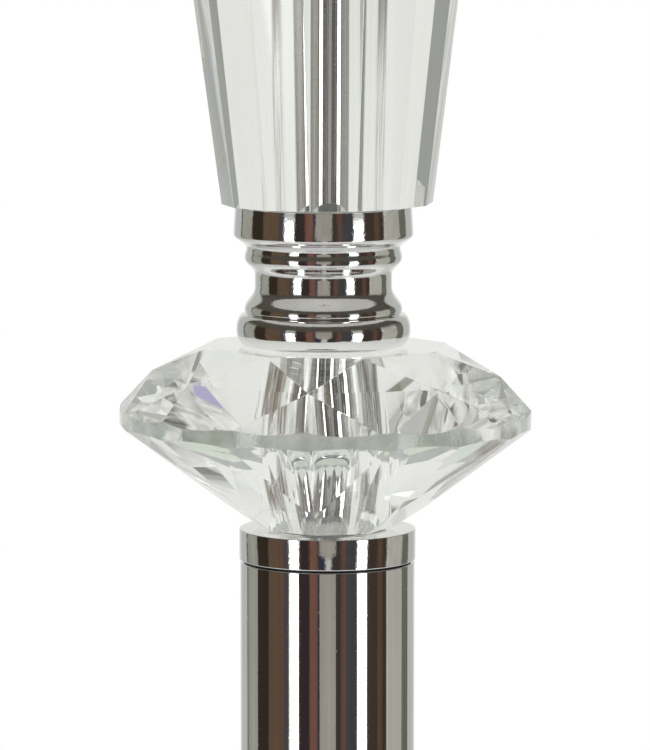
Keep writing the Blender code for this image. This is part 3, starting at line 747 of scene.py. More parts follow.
stem = {
    "steps": 160,
    "edge": 0.25 * mm,        # softened arrises
    "gap": 0.3 * mm,
    "rodHole": 5.3 * mm,
    "tubeWall": 1.2 * mm,
    "seamRing": 0.75 * mm,    # black ring set back in the seam
    "seamRingGap": 0.04 * mm,
    "jointGroove": 0.5 * mm,
    "jointEdge": 0.6 * mm,
    "sleeveWall": 0.6 * mm,
    "sleeveEdge": 0.15 * mm,
}


def addTubes():
    for name in ("lower_tube", "upper_tube"):
        low, high, outer = sizesOf(name)
        profile = ringProfile(outer, outer - stem["tubeWall"], low, high, stem["edge"])
        addPiece(name + "_polished", turnedMesh(profile, stem["steps"]), "chrome", name)


def addSeamRing():
    # painted shade: a black ring set back in the seam, which shows as the dark line under the cap
    outer = radiusOf("upper_tube") - stem["seamRing"]
    low, high = highOf("upper_tube") + stem["seamRingGap"], lowOf("cap_ring") - stem["seamRingGap"]
    inner = stem["rodHole"] + 6 * mm
    profile = [(outer, low), (outer, high), (inner, high), (inner, low)]
    addPiece("seam_shade_ring", turnedMesh(profile, 96), "black", None)


def addJointRing():
    low, high, outer = sizesOf("joint_ring")
    hole, groove, middle = stem["rodHole"], stem["jointGroove"], (low + high) / 2
    profile = softened([(outer, low), (outer, middle - groove), (outer - groove, middle),
                        (outer, middle + groove), (outer, high), (hole, high), (hole, low)],
                       stem["jointEdge"])
    addPiece("joint_ring_polished", turnedMesh(profile, stem["steps"]), "chrome", "joint_ring")


def addCapRing():
    low, high, outer = sizesOf("cap_ring")
    recess = radiusOf("disc_foot_washer") + stem["gap"]
    floor = lowOf("disc_foot_washer") - stem["gap"]
    hole = stem["rodHole"]
    profile = softened([(outer, low), (outer, high), (recess, high), (recess, floor), (hole, floor),
                        (hole, low)], stem["edge"])
    addPiece("cap_ring_polished", turnedMesh(profile, stem["steps"]), "castChrome", "cap_ring")


collar = {
    "aside": -0.87 * mm,      # it stands a little left of the tube's axis
    "hole": 6.3 * mm,
    "top": 19.15 * mm,
    "topEdge": 0.4 * mm,
    "drum": 19.5 * mm,
    "drumLow": 24.3 * mm,     # height of the drum's widest place
    "bead": 17.05 * mm,
    "beadHeight": 19.1 * mm,
    "neck": 16.7 * mm,        # between the bead and the drum
    "neckHeight": 21.0 * mm,
    "waist": 14.87 * mm,
    "waistTop": 15.2 * mm,
    "waistLow": 12.8 * mm,
    "ring": 17.1 * mm,
    "ringHeight": 7.4 * mm,
    "groove": 16.9 * mm,
    "base": 18.9 * mm,
    "baseTop": 6.7 * mm,
    "shoulder": 17.3 * mm,
}


def sweep(low, high, steps):
    # curve from low to high that is upright at both ends
    points = []
    for i in range(steps + 1):
        t = i / steps
        share = t ** 3 * (10 - t * (15 - 6 * t))
        points.append((low[0] + (high[0] - low[0]) * share, low[1] + (high[1] - low[1]) * t))
    return points


def bead(low, high, edgeRadius, fullRadius, steps):
    middle, half = (low + high) / 2, (high - low) / 2
    angles = [radians(-90 + 180 * i / steps) for i in range(steps + 1)]
    return [(edgeRadius + (fullRadius - edgeRadius) * cos(a), middle + half * sin(a)) for a in angles]


def collarOutline(low, high):
    def point(radius, height):
        return collar[radius], low + collar[height]

    ring, neck = point("ring", "ringHeight"), point("neck", "neckHeight")
    beadPoint = point("bead", "beadHeight")
    outline = bead(low, low + collar["baseTop"], collar["shoulder"], collar["base"], 28)
    outline += [(collar["groove"], (low + collar["baseTop"] + ring[1]) / 2)]
    outline += sweep(ring, point("waist", "waistLow"), 22)
    outline += sweep(point("waist", "waistTop"), beadPoint, 18)
    outline += sweep(beadPoint, neck, 12)[1:]
    outline += sweep(neck, point("drum", "drumLow"), 24)[1:]
    return outline + topRound(collar["top"], high, collar["topEdge"], 6, start=5)


def addCollar():
    low, high = sizesOf("stem_collar")[:2]
    hole = collar["hole"]
    recess = radiusOf("disc_top_washer") - collar["aside"] + stem["gap"]
    floorLow = highOf("disc_top_washer") + stem["gap"]
    floorHigh = lowOf("column_foot_washer") - stem["gap"]
    inside = [(recess, high), (recess, floorHigh), (hole, floorHigh), (hole, floorLow), (recess, floorLow),
              (recess, low)]
    bm = turnedMesh(collarOutline(low, high) + inside, stem["steps"])
    bmesh.ops.translate(bm, verts=bm.verts, vec=(collar["aside"], 0, 0))
    addPiece("stem_collar_polished", bm, "castChrome", "stem_collar", sharp=50.0)


def addSleeves():
    for name in ("disc_sleeve", "column_sleeve"):
        low, high, outer = sizesOf(name)
        profile = ringProfile(outer, outer - stem["sleeveWall"], low, high, stem["sleeveEdge"], 2)
        addPiece(name + "_bright", turnedMesh(profile, 96), "chrome", name)


boss = {"hole": 6.15 * mm, "radius": 7.4 * mm, "depth": 6.4 * mm, "steps": 18}


def addBoss():
    # domed end of the collar's lining, seen at the top of the disc's bore
    top = highOf("crystal_disc") - 0.1 * mm
    profile = [(boss["radius"], top)]
    for i in range(1, boss["steps"] + 1):
        angle = pi / 2 * i / boss["steps"]
        profile.append((boss["hole"] + (boss["radius"] - boss["hole"]) * cos(angle),
                        top - boss["depth"] * sin(angle)))
    profile.append((boss["hole"], top))
    addPiece("collar_boss", turnedMesh(profile, 96), "chrome", None, sharp=50.0)


addTubes()
addSeamRing()
addJointRing()
addCapRing()
addCollar()
addBoss()
addSleeves()
print("chrome stem done")


# cut glass

cutGlass = {
    "bore": 10.0 * mm,
    "arris": 0.08 * mm,       # tiny ground flat along each edge between facets
    "table": 27.0 * mm,
    "crown": 38.0 * mm,
    "edge": 44.8 * mm,        # round, ground and half polished
    "edgeLow": 22.1 * mm,
    "edgeHigh": 26.3 * mm,
    "beyond": 1.03,           # the facets run this far past the edge before it is rounded
    "foot": 13.6 * mm,
    "tip": 22.0 * mm,
    "turn": -5.6,             # degrees, clockwise from above
    "tilt": 0.45,             # right side low
    "aside": -0.46 * mm,
    "columnFoot": 22.95 * mm,
    "columnTop": 38.4 * mm,
    "columnSides": 14,
    "columnTurn": 16.1,
    "columnLean": -0.35,      # to the left
}


def ringCorners(radius, z, sides, first):
    step = 2 * pi / sides
    return [(radius * cos(first + i * step), radius * sin(first + i * step), z) for i in range(sides)]


def hullMesh(points, low):
    # the facets' hull, with a fine arris along each edge
    bm = bmesh.new()
    verts = [bm.verts.new((x, y, z + low)) for x, y, z in points]
    bmesh.ops.convex_hull(bm, input=verts)
    bmesh.ops.dissolve_limit(bm, angle_limit=radians(0.3), verts=bm.verts, edges=bm.edges)
    bmesh.ops.recalc_face_normals(bm, faces=bm.faces)
    bmesh.ops.bevel(bm, geom=bm.edges[:] + bm.verts[:], offset=cutGlass["arris"], offset_type="OFFSET",
                    affect="EDGES", segments=2, profile=0.5, material=-1)
    return bm


def rodTool(radius, length, steps, place):
    bm = bmesh.new()
    bmesh.ops.create_cone(bm, cap_ends=True, segments=steps, radius1=radius, radius2=radius, depth=length,
                          matrix=place)
    return bm


def roundTool(radius, low, high, steps):
    bm = rodTool(radius, high - low + 4 * mm, steps, Matrix.Translation((0, 0, (low + high) / 2)))
    for face in bm.faces:
        face.smooth = len(face.verts) == 4
    return bm


def cutWith(piece, bm, operation="DIFFERENCE"):
    tool = newObject("cutTool", bm)
    for material in piece.data.materials:
        tool.data.materials.append(material)
    cut = piece.modifiers.new("cut", "BOOLEAN")
    cut.object = tool
    cut.operation = operation
    cut.solver = "EXACT"
    graph = bpy.context.evaluated_depsgraph_get()
    done = bpy.data.meshes.new_from_object(piece.evaluated_get(graph))
    piece.modifiers.clear()
    done.set_sharp_from_angle(angle=radians(20.0))
    piece.data = done
    bpy.data.objects.remove(tool, do_unlink=True)


def heightOnFacet(corners, radius, angle):
    # height of the facet through three corners, at this radius and angle
    first, second, third = (Vector(corner) for corner in corners)
    normal = (second - first).cross(third - first)
    x, y = radius * cos(angle), radius * sin(angle)
    return first.z - (normal.x * (x - first.x) + normal.y * (y - first.y)) / normal.z


def pastEdge(innerRadius, innerHeight, edgeHeight, turn):
    # ring of corners just past the edge, on the sixteen facets that meet it
    half = pi / 8
    edge = cutGlass["edge"]
    corners = [(innerRadius, 0, innerHeight), (edge, 0, edgeHeight),
               (edge * cos(half), edge * sin(half), edgeHeight)]
    far = edge * cutGlass["beyond"]
    points = ringCorners(far, heightOnFacet(corners, far, 0), 8, turn)
    return points + ringCorners(far, heightOnFacet(corners, far, half), 8, turn + half)


def discHull(low, high):
    half = pi / 8
    turn = radians(cutGlass["turn"])
    tall = high - low
    table, crown, edge = cutGlass["table"], cutGlass["crown"], cutGlass["edge"]
    tip, foot = cutGlass["tip"], cutGlass["foot"]
    fall = (tall - cutGlass["edgeHigh"]) / (edge - table)
    crownHeight = tall - fall * (crown * cos(half) - table)
    tipHeight = cutGlass["edgeLow"] / (edge - foot) * (tip * cos(half) - foot)
    points = ringCorners(table, tall, 8, turn + half) + ringCorners(crown, crownHeight, 8, turn)
    points += pastEdge(crown, crownHeight, cutGlass["edgeHigh"], turn)
    points += pastEdge(tip, tipHeight, cutGlass["edgeLow"], turn)
    points += ringCorners(tip, tipHeight, 8, turn) + ringCorners(foot / cos(half), 0, 8, turn)
    return hullMesh(points, low)


def moveDisc(mesh, low, high):
    # as it stands in the photograph: a little aside and a little tilted
    middle = Vector((0, 0, (low + high) / 2))
    tilt = Matrix.Rotation(radians(cutGlass["tilt"]), 4, "Y")
    aside = Vector((cutGlass["aside"], 0, 0))
    mesh.transform(Matrix.Translation(middle + aside) @ tilt @ Matrix.Translation(-middle))


def addDisc():
    low, high = sizesOf("crystal_disc")[:2]
    disc = addPiece("crystal_disc_cut", discHull(low, high), "glass glassEdge", "crystal_disc",
                    smooth=False)
    rounder = roundTool(cutGlass["edge"], low, high, 144)
    for face in rounder.faces:
        face.material_index = 1
    cutWith(disc, rounder, "INTERSECT")
    cutWith(disc, roundTool(cutGlass["bore"], low, high, 96))
    moveDisc(disc.data, low, high)


def addColumn():
    first = -pi / 2 + radians(cutGlass["columnTurn"])
    low, high = sizesOf("crystal_column")[:2]
    sides = cutGlass["columnSides"]
    points = ringCorners(cutGlass["columnFoot"], 0, sides, first)
    bm = hullMesh(points + ringCorners(cutGlass["columnTop"], high - low, sides, first), low)
    lean = Matrix.Rotation(radians(cutGlass["columnLean"]), 3, "Y")
    bmesh.ops.rotate(bm, verts=bm.verts, cent=(0, 0, low), matrix=lean)
    column = addPiece("crystal_column_cut", bm, "glass", "crystal_column", smooth=False)
    cutWith(column, roundTool(cutGlass["bore"], low, high, 96))


addDisc()
addColumn()
print("cut glass done")

# base: felt pad, spun cover, gland and the foot of the pole

base = {
    "steps": 180,
    "sheet": 1.2 * mm,
    "shoulder": 19.0 * mm,    # height of the cover's shoulder
    "fillet": 4.0 * mm,
    "step": 116.0 * mm,       # raised middle
    "stepRise": 3.5 * mm,
    "hub": 40.0 * mm,
    "hubRunOut": 12.0 * mm,
    "hubLip": 4.0 * mm,
    "glandHeight": 8.7 * mm,
    "glandHole": 5.3 * mm,
    "padEdge": 0.7 * mm,
    "padHole": 20.0 * mm,
}
foot = {
    "rim": 3.0 * mm,
    "rimStep": 1.5 * mm,
    "rimEdge": 0.8 * mm,
    "underEdge": 0.3 * mm,
    "lip": 21.5 * mm,
    "lipHeight": 4.0 * mm,
    "lipEdge": 1.0 * mm,
    "floor": 4.0 * mm,
}
gland = {"bore": 3.6 * mm, "neck": 5.0 * mm, "flange": 6.6 * mm, "thick": 1.4 * mm, "fall": 0.47 * mm,
         "edge": 0.5 * mm}


def cove(low, high, steps):
    # quarter curve that leaves low level and reaches high upright
    points = []
    for i in range(steps + 1):
        angle = pi / 2 * i / steps
        points.append((high[0] + (low[0] - high[0]) * (1 - sin(angle)),
                       low[1] + (high[1] - low[1]) * (1 - cos(angle))))
    return points


def inward(profile, wall):
    # the outline moved in by the wall, for one that runs down its outer side
    moved = []
    for i, point in enumerate(profile):
        here = Vector(point)
        ways = []
        if i > 0:
            ways.append((here - Vector(profile[i - 1])).normalized())
        if i < len(profile) - 1:
            ways.append((Vector(profile[i + 1]) - here).normalized())
        side = sum((Vector((way.y, -way.x)) for way in ways), Vector((0, 0))).normalized()
        reach = wall / max(side.dot(Vector((ways[0].y, -ways[0].x))), 0.5)
        moved.append(tuple(here + side * reach))
    return moved


def shellOf(profile, wall):
    return profile + inward(profile, wall)[::-1]


def addBaseCover():
    hem, top, outer = sizesOf("base_cover")
    shoulder, rise = base["shoulder"], base["stepRise"]
    profile = [(outer, hem)] + topRound(outer, shoulder, base["fillet"], 14)
    profile += arcPoints((base["step"], shoulder), rise, 0, 90, 12)
    profile += cove((base["step"] - base["hubRunOut"], shoulder + rise),
                    (base["hub"] + base["hubLip"], top), 40)
    profile += [(base["hub"], top), (stem["rodHole"], top)]
    bm = turnedMesh(shellOf(profile[::-1], base["sheet"]), base["steps"])
    cover = addPiece("base_cover_spun", bm, "chrome", "base_cover", sharp=28.0)
    across = Matrix.Translation((0, outer, base["glandHeight"])) @ Matrix.Rotation(pi / 2, 4, "X")
    cutWith(cover, rodTool(base["glandHole"], 10 * mm, 48, across))


def addBasePad():
    low, high, outer = sizesOf("base_pad")
    profile = ringProfile(outer, base["padHole"], low, high, base["padEdge"])
    addPiece("base_pad_felt", turnedMesh(profile, base["steps"]), "felt", "base_pad")


def addGland():
    outer = radiusOf("base_cover") + stem["gap"]
    inner = radiusOf("base_cover") - base["sheet"] - stem["gap"] - gland["fall"]
    bore, neck, flange, thick = gland["bore"], gland["neck"], gland["flange"], gland["thick"]
    profile = [(bore, inner - thick), (flange, inner - thick), (flange, inner), (neck, inner),
               (neck, outer), (flange, outer), (flange, outer + thick), (bore, outer + thick)]
    bm = turnedMesh(softened(profile, gland["edge"]), 64)
    place = Matrix.Translation((0, 0, base["glandHeight"])) @ Matrix.Rotation(-pi / 2, 4, "X")
    bmesh.ops.transform(bm, matrix=place, verts=bm.verts)
    addPiece("cord_gland_moulded", bm, "black", "cord_gland")


def addPoleFoot():
    low, high, outer = sizesOf("pole_foot")
    rimTop, floor = low + foot["rim"], low + foot["floor"]
    lip, under, seat = foot["lip"], foot["underEdge"], radiusOf("lower_tube") + stem["gap"]
    profile = [(outer, low + under)] + topRound(outer, rimTop, foot["rimEdge"], 6, end=80)
    profile += cove((outer - foot["rimStep"], rimTop + foot["rimStep"]),
                    (lip, high - foot["lipHeight"]), 32)
    profile += topRound(lip, high, foot["lipEdge"], 8)
    profile += [(seat, high), (seat, floor), (stem["rodHole"], floor), (stem["rodHole"], low),
                (outer - under, low)]
    addPiece("pole_foot_turned", turnedMesh(profile, stem["steps"]), "chrome", "pole_foot")


addBaseCover()
addBasePad()
addGland()
addPoleFoot()
print("base done")


# cap over the column, and the lampholder

cap = {
    "footEdge": 0.5 * mm,
    "round": 1.2 * mm,
    "rim": 5.0 * mm,
    "sweepIn": 3.0 * mm,
    "neck": 11.0 * mm,
    "beadHeight": 4.2 * mm,
    "bead": 3.5 * mm,
    "edge": 0.8 * mm,
}
holder = {
    "cupWall": 1.0 * mm,
    "cupRound": 2.0 * mm,
    "knobHole": 2.3 * mm,
    "footEdge": 0.6 * mm,
    "flange": 3.5 * mm,
    "flangeEdge": 0.8 * mm,
    "floor": 3.0 * mm,
    "body": 19.8 * mm,
    "bodyEdge": 1.0 * mm,
    "bore": 14.4 * mm,
    "contactHole": 3.3 * mm,
    "threadEnd": 1.2 * mm,    # below the top
    "threadPitch": 2.4 * mm,
    "threadDepth": 0.7 * mm,
    "shellWall": 0.6 * mm,
    "shellEdge": 0.2 * mm,
}
shadeNut = {
    "rim": 2.6 * mm,
    "edge": 0.5 * mm,
    "step": 0.9 * mm,
    "slope": 4.0 * mm,
    "topEdge": 0.8 * mm,
    "ribs": 24,
    "ribDepth": 0.5 * mm,
    "ribbed": 1.2 * mm,       # how far in from the rim the ribs reach
}
knob = {
    "flutes": 12,
    "flute": 0.4 * mm,
    "radius": 6.2 * mm,
    "socket": 2.3 * mm,
    "front": 2.2 * mm,
    "footEdge": 0.4 * mm,
    "skirt": 1.2 * mm,
    "taper": 0.03,
    "faceEdge": 1.5 * mm,
    "dish": 0.35 * mm,
}
bulb = {
    "contact": 4.5 * mm,
    "contactEdge": 5.5 * mm,
    "edge": 0.4 * mm,
    "coneIn": 3.0 * mm,
    "coneTop": 3.5 * mm,
    "threadFrom": 6.5 * mm,
    "threadEnd": 1.5 * mm,    # below the top
    "threadPitch": 3.6 * mm,
    "threadDepth": 0.8 * mm,
    "neck": 12.8 * mm,
    "neckFoot": 0.5 * mm,
    "neckEdge": 0.6 * mm,
    "neckStraight": 8.0 * mm,
    "neckPull": 20.0 * mm,
    "ballPull": 14.0 * mm,
    "join": -33.4,            # degrees, where the neck's curve meets the ball
}


def addColumnCap():
    low, high, outer = sizesOf("column_cap")
    recess = radiusOf("column_top_washer") + stem["gap"]
    floor = highOf("column_top_washer") + stem["gap"]
    rimTop, beadLow, edge = low + cap["rim"], high - cap["beadHeight"], cap["edge"]
    profile = [(recess, low)] + footRound(outer, low, cap["footEdge"], 5)
    profile += topRound(outer, rimTop - edge, cap["round"], 9)
    profile += cove((outer - cap["sweepIn"], rimTop), (cap["neck"], beadLow - edge), 30)
    profile += bead(beadLow, high, cap["neck"], cap["neck"] + cap["bead"], 20)
    profile += [(stem["rodHole"], high), (stem["rodHole"], floor), (recess, floor)]
    addPiece("column_cap_turned", turnedMesh(profile, stem["steps"]), "chrome", "column_cap",
             sharp=40.0)


def addHolderCup():
    low, high, outer = sizesOf("holder_cup")
    profile = [(outer, high)] + footRound(outer, low, holder["cupRound"], 12, start=0, end=-90)
    bm = turnedMesh(shellOf(profile + [(stem["rodHole"], low)], holder["cupWall"]), 128)
    cup = addPiece("holder_cup_spun", bm, "chrome", "holder_cup")
    middle = (lowOf("switch_shaft") + highOf("switch_shaft")) / 2
    across = Matrix.Translation((outer, 0, middle)) @ Matrix.Rotation(pi / 2, 4, "Y")
    cutWith(cup, rodTool(holder["knobHole"], 6 * mm, 32, across))


def drawIn(vert, depth, turns):
    # moves a vertex in by a wave that goes round so many turns
    radius = vert.co.xy.length
    share = (radius - depth * (0.5 + 0.5 * cos(2 * pi * turns))) / radius
    vert.co.x *= share
    vert.co.y *= share


def turnOf(vert):
    return vert.co.xy.angle_signed(Vector((1, 0)), 0.0) / (2 * pi)


def wound(bm, wall, low, high, pitch, depth):
    # turns a plain outer wall into a screw thread cut into it
    for vert in bm.verts:
        z = vert.co.z
        if abs(vert.co.xy.length - wall) <= 0.02 * mm and low < z < high:
            fade = min(1.0, (z - low) / pitch, (high - z) / pitch)
            drawIn(vert, depth * fade, z / pitch - turnOf(vert))


def fluted(bm, wall, low, high, count, depth):
    for vert in bm.verts:
        if vert.co.xy.length >= wall and low <= vert.co.z <= high:
            drawIn(vert, depth, count * turnOf(vert))


def upright(radius, low, high, steps):
    return [(radius, low + (high - low) * i / steps) for i in range(steps + 1)]


def addHolderBody():
    low, high, outer = sizesOf("holder_body")
    flangeTop, floor = low + holder["flange"], low + holder["floor"]
    body, bore = holder["body"], holder["bore"]
    threadLow, threadHigh = highOf("shade_nut") + 0.5 * mm, high - holder["threadEnd"]
    profile = footRound(outer, low, holder["footEdge"], 5)
    profile += topRound(outer, flangeTop, holder["flangeEdge"], 6)
    profile += [(body, flangeTop)] + upright(body, threadLow, threadHigh, 72)
    profile += topRound(body, high, holder["bodyEdge"], 6)
    profile += [(bore, high), (bore, floor), (holder["contactHole"], floor), (holder["contactHole"], low)]
    bm = turnedMesh(profile, 96)
    wound(bm, body, threadLow, threadHigh, holder["threadPitch"], holder["threadDepth"])
    addPiece("holder_body_moulded", bm, "ivory", "holder_body", sharp=40.0)


def addShadeNut():
    low, high, outer = sizesOf("shade_nut")
    rim, inner = low + shadeNut["rim"], holder["body"] + stem["gap"]
    edge, topEdge = shadeNut["edge"], shadeNut["topEdge"]
    profile = footRound(outer, low, edge, 4) + topRound(outer, rim, edge, 4, end=60)
    slopeTop = outer - shadeNut["slope"]
    profile += cove((outer - shadeNut["step"], rim), (slopeTop, high - topEdge), 10)
    profile += topRound(slopeTop, high, topEdge, 6)[1:]
    bm = turnedMesh(profile + [(inner, high), (inner, low)], 192)
    fluted(bm, outer - shadeNut["ribbed"], low, rim + 0.2 * mm, shadeNut["ribs"], shadeNut["ribDepth"])
    addPiece("shade_nut_ribbed", bm, "ivory", "shade_nut", sharp=40.0)


def addScrewShell():
    low, high, outer = sizesOf("screw_shell")
    profile = ringProfile(outer, outer - holder["shellWall"], low, high, holder["shellEdge"], 2)
    addPiece("screw_shell_rolled", turnedMesh(profile, 96), "brass", "screw_shell")


def addKnob():
    # turned upright, then laid on the joint's axis
    low, high = boxes["switch_knob"]
    length = high[0] - low[0]
    radius, socket = knob["radius"] + knob["flute"], knob["socket"]
    skirt, face = knob["skirt"], knob["faceEdge"]
    profile = [(socket, 0.0)] + footRound(radius * 0.9, 0.0, knob["footEdge"], 4, end=-20)
    profile += [(radius * (1 - knob["taper"] * i / 8), skirt + (length - skirt - face) * i / 8)
                for i in range(9)]
    profile += topRound(radius * (1 - knob["taper"]), length, face, 8, start=10)
    profile += [(0.0, length - knob["dish"]), (0.0, length - knob["front"]),
                (socket, length - knob["front"])]
    bm = turnedMesh(profile, 144)
    fluted(bm, radius * 0.8, 0.0, length - 1.0 * mm, knob["flutes"], 2 * knob["flute"])
    place = Matrix.Translation((low[0], 0, (low[2] + high[2]) / 2)) @ Matrix.Rotation(pi / 2, 4, "Y")
    bmesh.ops.transform(bm, matrix=place, verts=bm.verts)
    addPiece("switch_knob_fluted", bm, "black", "switch_knob", body="switch")


def addBulb():
    low, high, outer = sizesOf("bulb_screw")
    threadLow, edge = low + bulb["threadFrom"], bulb["edge"]
    profile = [(0.0, low), (bulb["contact"], low), (bulb["contactEdge"], low + edge),
               (outer - bulb["coneIn"], low + bulb["coneTop"])]
    profile += upright(outer, threadLow, high - edge, 48) + [(outer - edge, high), (0.0, high)]
    bm = turnedMesh(profile, 72, closed=False)
    wound(bm, outer, threadLow, high - bulb["threadEnd"], bulb["threadPitch"], bulb["threadDepth"])
    addPiece("bulb_screw_rolled", bm, "steel", "bulb_screw", sharp=40.0)
    low, high, ball = sizesOf("bulb_glass")
    neck, middle, join = bulb["neck"], high - ball, radians(bulb["join"])
    footHeight = low + bulb["neckFoot"]
    edge = bulb["neckEdge"]
    outline = [(0.0, footHeight), (neck - edge, footHeight), (neck, footHeight + edge)]
    start, pull = Vector((neck, low + bulb["neckStraight"])), Vector((neck, low + bulb["neckPull"]))
    end = Vector((ball * cos(join), middle + ball * sin(join)))
    away = end - Vector((-sin(join), cos(join))) * bulb["ballPull"]
    for i in range(25):
        t = i / 24
        outline.append(tuple((1 - t) ** 3 * start + 3 * t * (1 - t) ** 2 * pull
                             + 3 * t ** 2 * (1 - t) * away + t ** 3 * end))
    outline += arcPoints((0.0, middle), ball, bulb["join"], 90, 48)[1:-1] + [(0.0, high)]
    bm = turnedMesh(outline, 96, closed=False)
    addPiece("bulb_glass_frosted", bm, "bulb", "bulb_glass")


addColumnCap()
addHolderCup()
addHolderBody()
addShadeNut()
addScrewShell()
addKnob()
addBulb()
print("lampholder done")


# shade: linen on a stiff lining, rolled over its wires, with a lapped seam at the back

shade = {
    "steps": 288,
    "top": 175.0 * mm,        # outer radius at the top edge
    "cloth": 0.45 * mm,       # thickness
    "lining": 0.40 * mm,
    "liningGap": 0.05 * mm,
    "wire": 1.5 * mm,
    "wireLift": 3.0 * mm,
    "wireIn": 2.8 * mm,       # wire's centre, in from the cloth's outer side
    "hem": 9.0 * mm,
    "tape": 0.30 * mm,
    "seam": (0.35 * mm, 0.05 * mm),   # its outer and inner side, out from the cloth
    "seamWidth": 14.0 * mm,
    "seamSteps": 8,
    "plate": 1.6 * mm,
    "plateRim": 4.0 * mm,     # beyond the nut
    "plateEdge": 0.3 * mm,
    "arms": 3,
    "armRadius": 1.6 * mm,
    "flat": (1.238, 0.343),   # the cloth's flat cut, in metres
}


def shadeRadius(z):
    low, high, foot = sizesOf("shade_cloth")
    return foot + (shade["top"] - foot) * (z - low) / (high - low)


def layCloth(bm, turn=0.0):
    # every face gets the place that it had in the flat cut, in metres
    low, high = sizesOf("shade_cloth")[:2]
    narrowing = shadeRadius(low) - shadeRadius(high)
    opened = narrowing / sqrt(narrowing ** 2 + (high - low) ** 2)
    layer = bm.loops.layers.uv.new("flatCut")
    for face in bm.faces:
        centre = face.calc_center_median().xy
        middle = centre.angle_signed(Vector((0, 1)), 0.0)
        for loop in face.loops:
            place = loop.vert.co.xy
            angle = (middle + place.angle_signed(centre, 0.0)) * opened
            reach = place.length / opened
            u, v = reach * sin(angle), reach * cos(angle)
            loop[layer].uv = (u * cos(turn) - v * sin(turn), u * sin(turn) + v * cos(turn))


def wallProfile(outerOff, innerOff, low, high, rows):
    heights = [low + (high - low) * i / rows for i in range(rows + 1)]
    outside = [(shadeRadius(z) + outerOff, z) for z in heights]
    return outside + [(shadeRadius(z) + innerOff, z) for z in reversed(heights)]


def hemPath():
    # outside, under the edge, round the wire and up to the lining; heights from the edge
    hem, wrap = shade["hem"], shade["wire"] + 0.45 * mm
    path = [(0.30 * mm, hem), (0.32 * mm, hem * 0.5)]
    path += arcPoints((-0.9 * mm, 1.0 * mm), 1.22 * mm, 0, -90, 6)
    path += arcPoints((-shade["wireIn"], shade["wireLift"]), wrap, -80, -200, 12)
    return path + [(-1.65 * mm, hem * 0.85), (-1.45 * mm, hem)]


def addHem(name, edge, up):
    path = [(shadeRadius(edge + up * z) + r, edge + up * z) for r, z in hemPath()]
    if up < 0:
        path.reverse()
    bm = turnedMesh(shellOf(path, shade["tape"]), shade["steps"])
    layCloth(bm, radians(45.0))
    return addPiece(name, bm, "cloth", None, sharp=60.0)


def only(items, kind):
    return [item for item in items if isinstance(item, kind)]


def extruded(bm, edges, move):
    # draws the edges out by one move, and gives the new edges
    made = bmesh.ops.extrude_edge_only(bm, edges=edges)["geom"]
    bmesh.ops.transform(bm, matrix=move, verts=only(made, bmesh.types.BMVert))
    return only(made, bmesh.types.BMEdge)


def addSeam(low, high):
    profile = wallProfile(*shade["seam"], low, high, 12)
    angle = shade["seamWidth"] / shadeRadius(low)
    bm = bmesh.new()
    bm.faces.new([bm.verts.new((radius, 0, z)) for radius, z in profile])
    bmesh.ops.rotate(bm, verts=bm.verts, cent=(0, 0, 0), matrix=Matrix.Rotation(pi / 2 - angle / 2, 3, "Z"))
    edges = bm.edges[:]
    for k in range(shade["seamSteps"]):
        edges = extruded(bm, edges, Matrix.Rotation(angle / shade["seamSteps"], 4, "Z"))
    bmesh.ops.contextual_create(bm, geom=edges)
    bmesh.ops.recalc_face_normals(bm, faces=bm.faces)
    layCloth(bm)
    return addPiece("shade_seam_lap", bm, "cloth", None, sharp=60.0)


def wireEnd(radius, place, axis):
    # open circle of wire, to be spun or drawn out
    bm = bmesh.new()
    bmesh.ops.create_circle(bm, segments=16, radius=radius)
    stand = Matrix.Translation(place) @ Matrix.Rotation(pi / 2, 4, axis)
    bmesh.ops.transform(bm, matrix=stand, verts=bm.verts)
    return bm


def addWireRing(name, height, replaced):
    bm = wireEnd(shade["wire"], (shadeRadius(height) - shade["wireIn"], 0, height), "X")
    spin(bm, shade["steps"])
    return addPiece(name, bm, "whiteSteel", replaced)


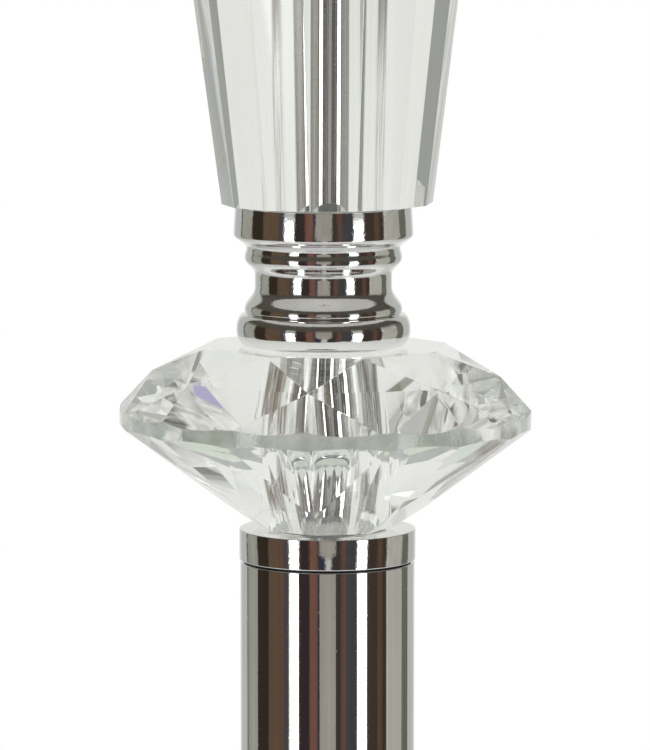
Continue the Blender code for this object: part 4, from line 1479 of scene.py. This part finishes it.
def addArms(low, start, level):
    # each arm leaves the plate level and sinks to the foot wire
    reach = shadeRadius(low) - shade["wireIn"]
    here = Vector((start, 0, level))
    bm = wireEnd(shade["armRadius"], here, "Y")
    edges = bm.edges[:]
    for x, z in [(start + 9 * mm, level), (start + 15 * mm, level - 0.8 * mm),
                 (reach - 14 * mm, low + 1.6 * mm), (reach - 6 * mm, low + 0.3 * mm), (reach, low)]:
        there = Vector((x, 0, z))
        edges = extruded(bm, edges, Matrix.Translation(there - here))
        here = there
    bmesh.ops.holes_fill(bm, edges=bm.edges[:], sides=0)
    bmesh.ops.recalc_face_normals(bm, faces=bm.faces)
    bmesh.ops.rotate(bm, verts=bm.verts, cent=(0, 0, 0), matrix=Matrix.Rotation(pi / 2, 3, "Z"))
    first = bm.verts[:] + bm.edges[:] + bm.faces[:]
    for k in range(1, shade["arms"]):
        made = bmesh.ops.duplicate(bm, geom=first)["geom"]
        bmesh.ops.rotate(bm, verts=only(made, bmesh.types.BMVert), cent=(0, 0, 0),
                         matrix=Matrix.Rotation(2 * pi * k / shade["arms"], 3, "Z"))
    addPiece("shade_arms", bm, "whiteSteel", "shade_foot_frame")


def addShadeFrame():
    low = lowOf("shade_cloth") + shade["wireLift"]
    plateHigh = lowOf("shade_nut") - stem["gap"]
    plateLow = plateHigh - shade["plate"]
    outer = radiusOf("shade_nut") + shade["plateRim"]
    profile = ringProfile(outer, holder["body"] + stem["gap"], plateLow, plateHigh, shade["plateEdge"])
    addPiece("shade_plate", turnedMesh(profile, 128), "whiteSteel", "shade_foot_frame")
    addWireRing("shade_foot_wire_ring", low, "shade_foot_frame")
    addArms(low, outer - 3 * mm, (plateLow + plateHigh) / 2)


def addShade():
    low, high = sizesOf("shade_cloth")[:2]
    bm = turnedMesh(wallProfile(0.0, -shade["cloth"], low, high, 24), shade["steps"])
    layCloth(bm)
    outside = addPiece("shade_linen", bm, "cloth", "shade_cloth", sharp=50.0)
    liningOff = -shade["cloth"] - shade["liningGap"]
    bm = turnedMesh(wallProfile(liningOff, liningOff - shade["lining"], low, high, 8), shade["steps"])
    inside = addPiece("shade_lining", bm, "lining", "shade_cloth", sharp=50.0)
    topWire = addWireRing("shade_top_wire_ring", high - shade["wireLift"], "shade_top_wire")
    footHem = addHem("shade_foot_hem", low, 1)
    topHem = addHem("shade_top_hem", high, -1)
    seam = addSeam(low + shade["hem"], high - shade["hem"])


addShadeFrame()
addShade()
print("shade done")
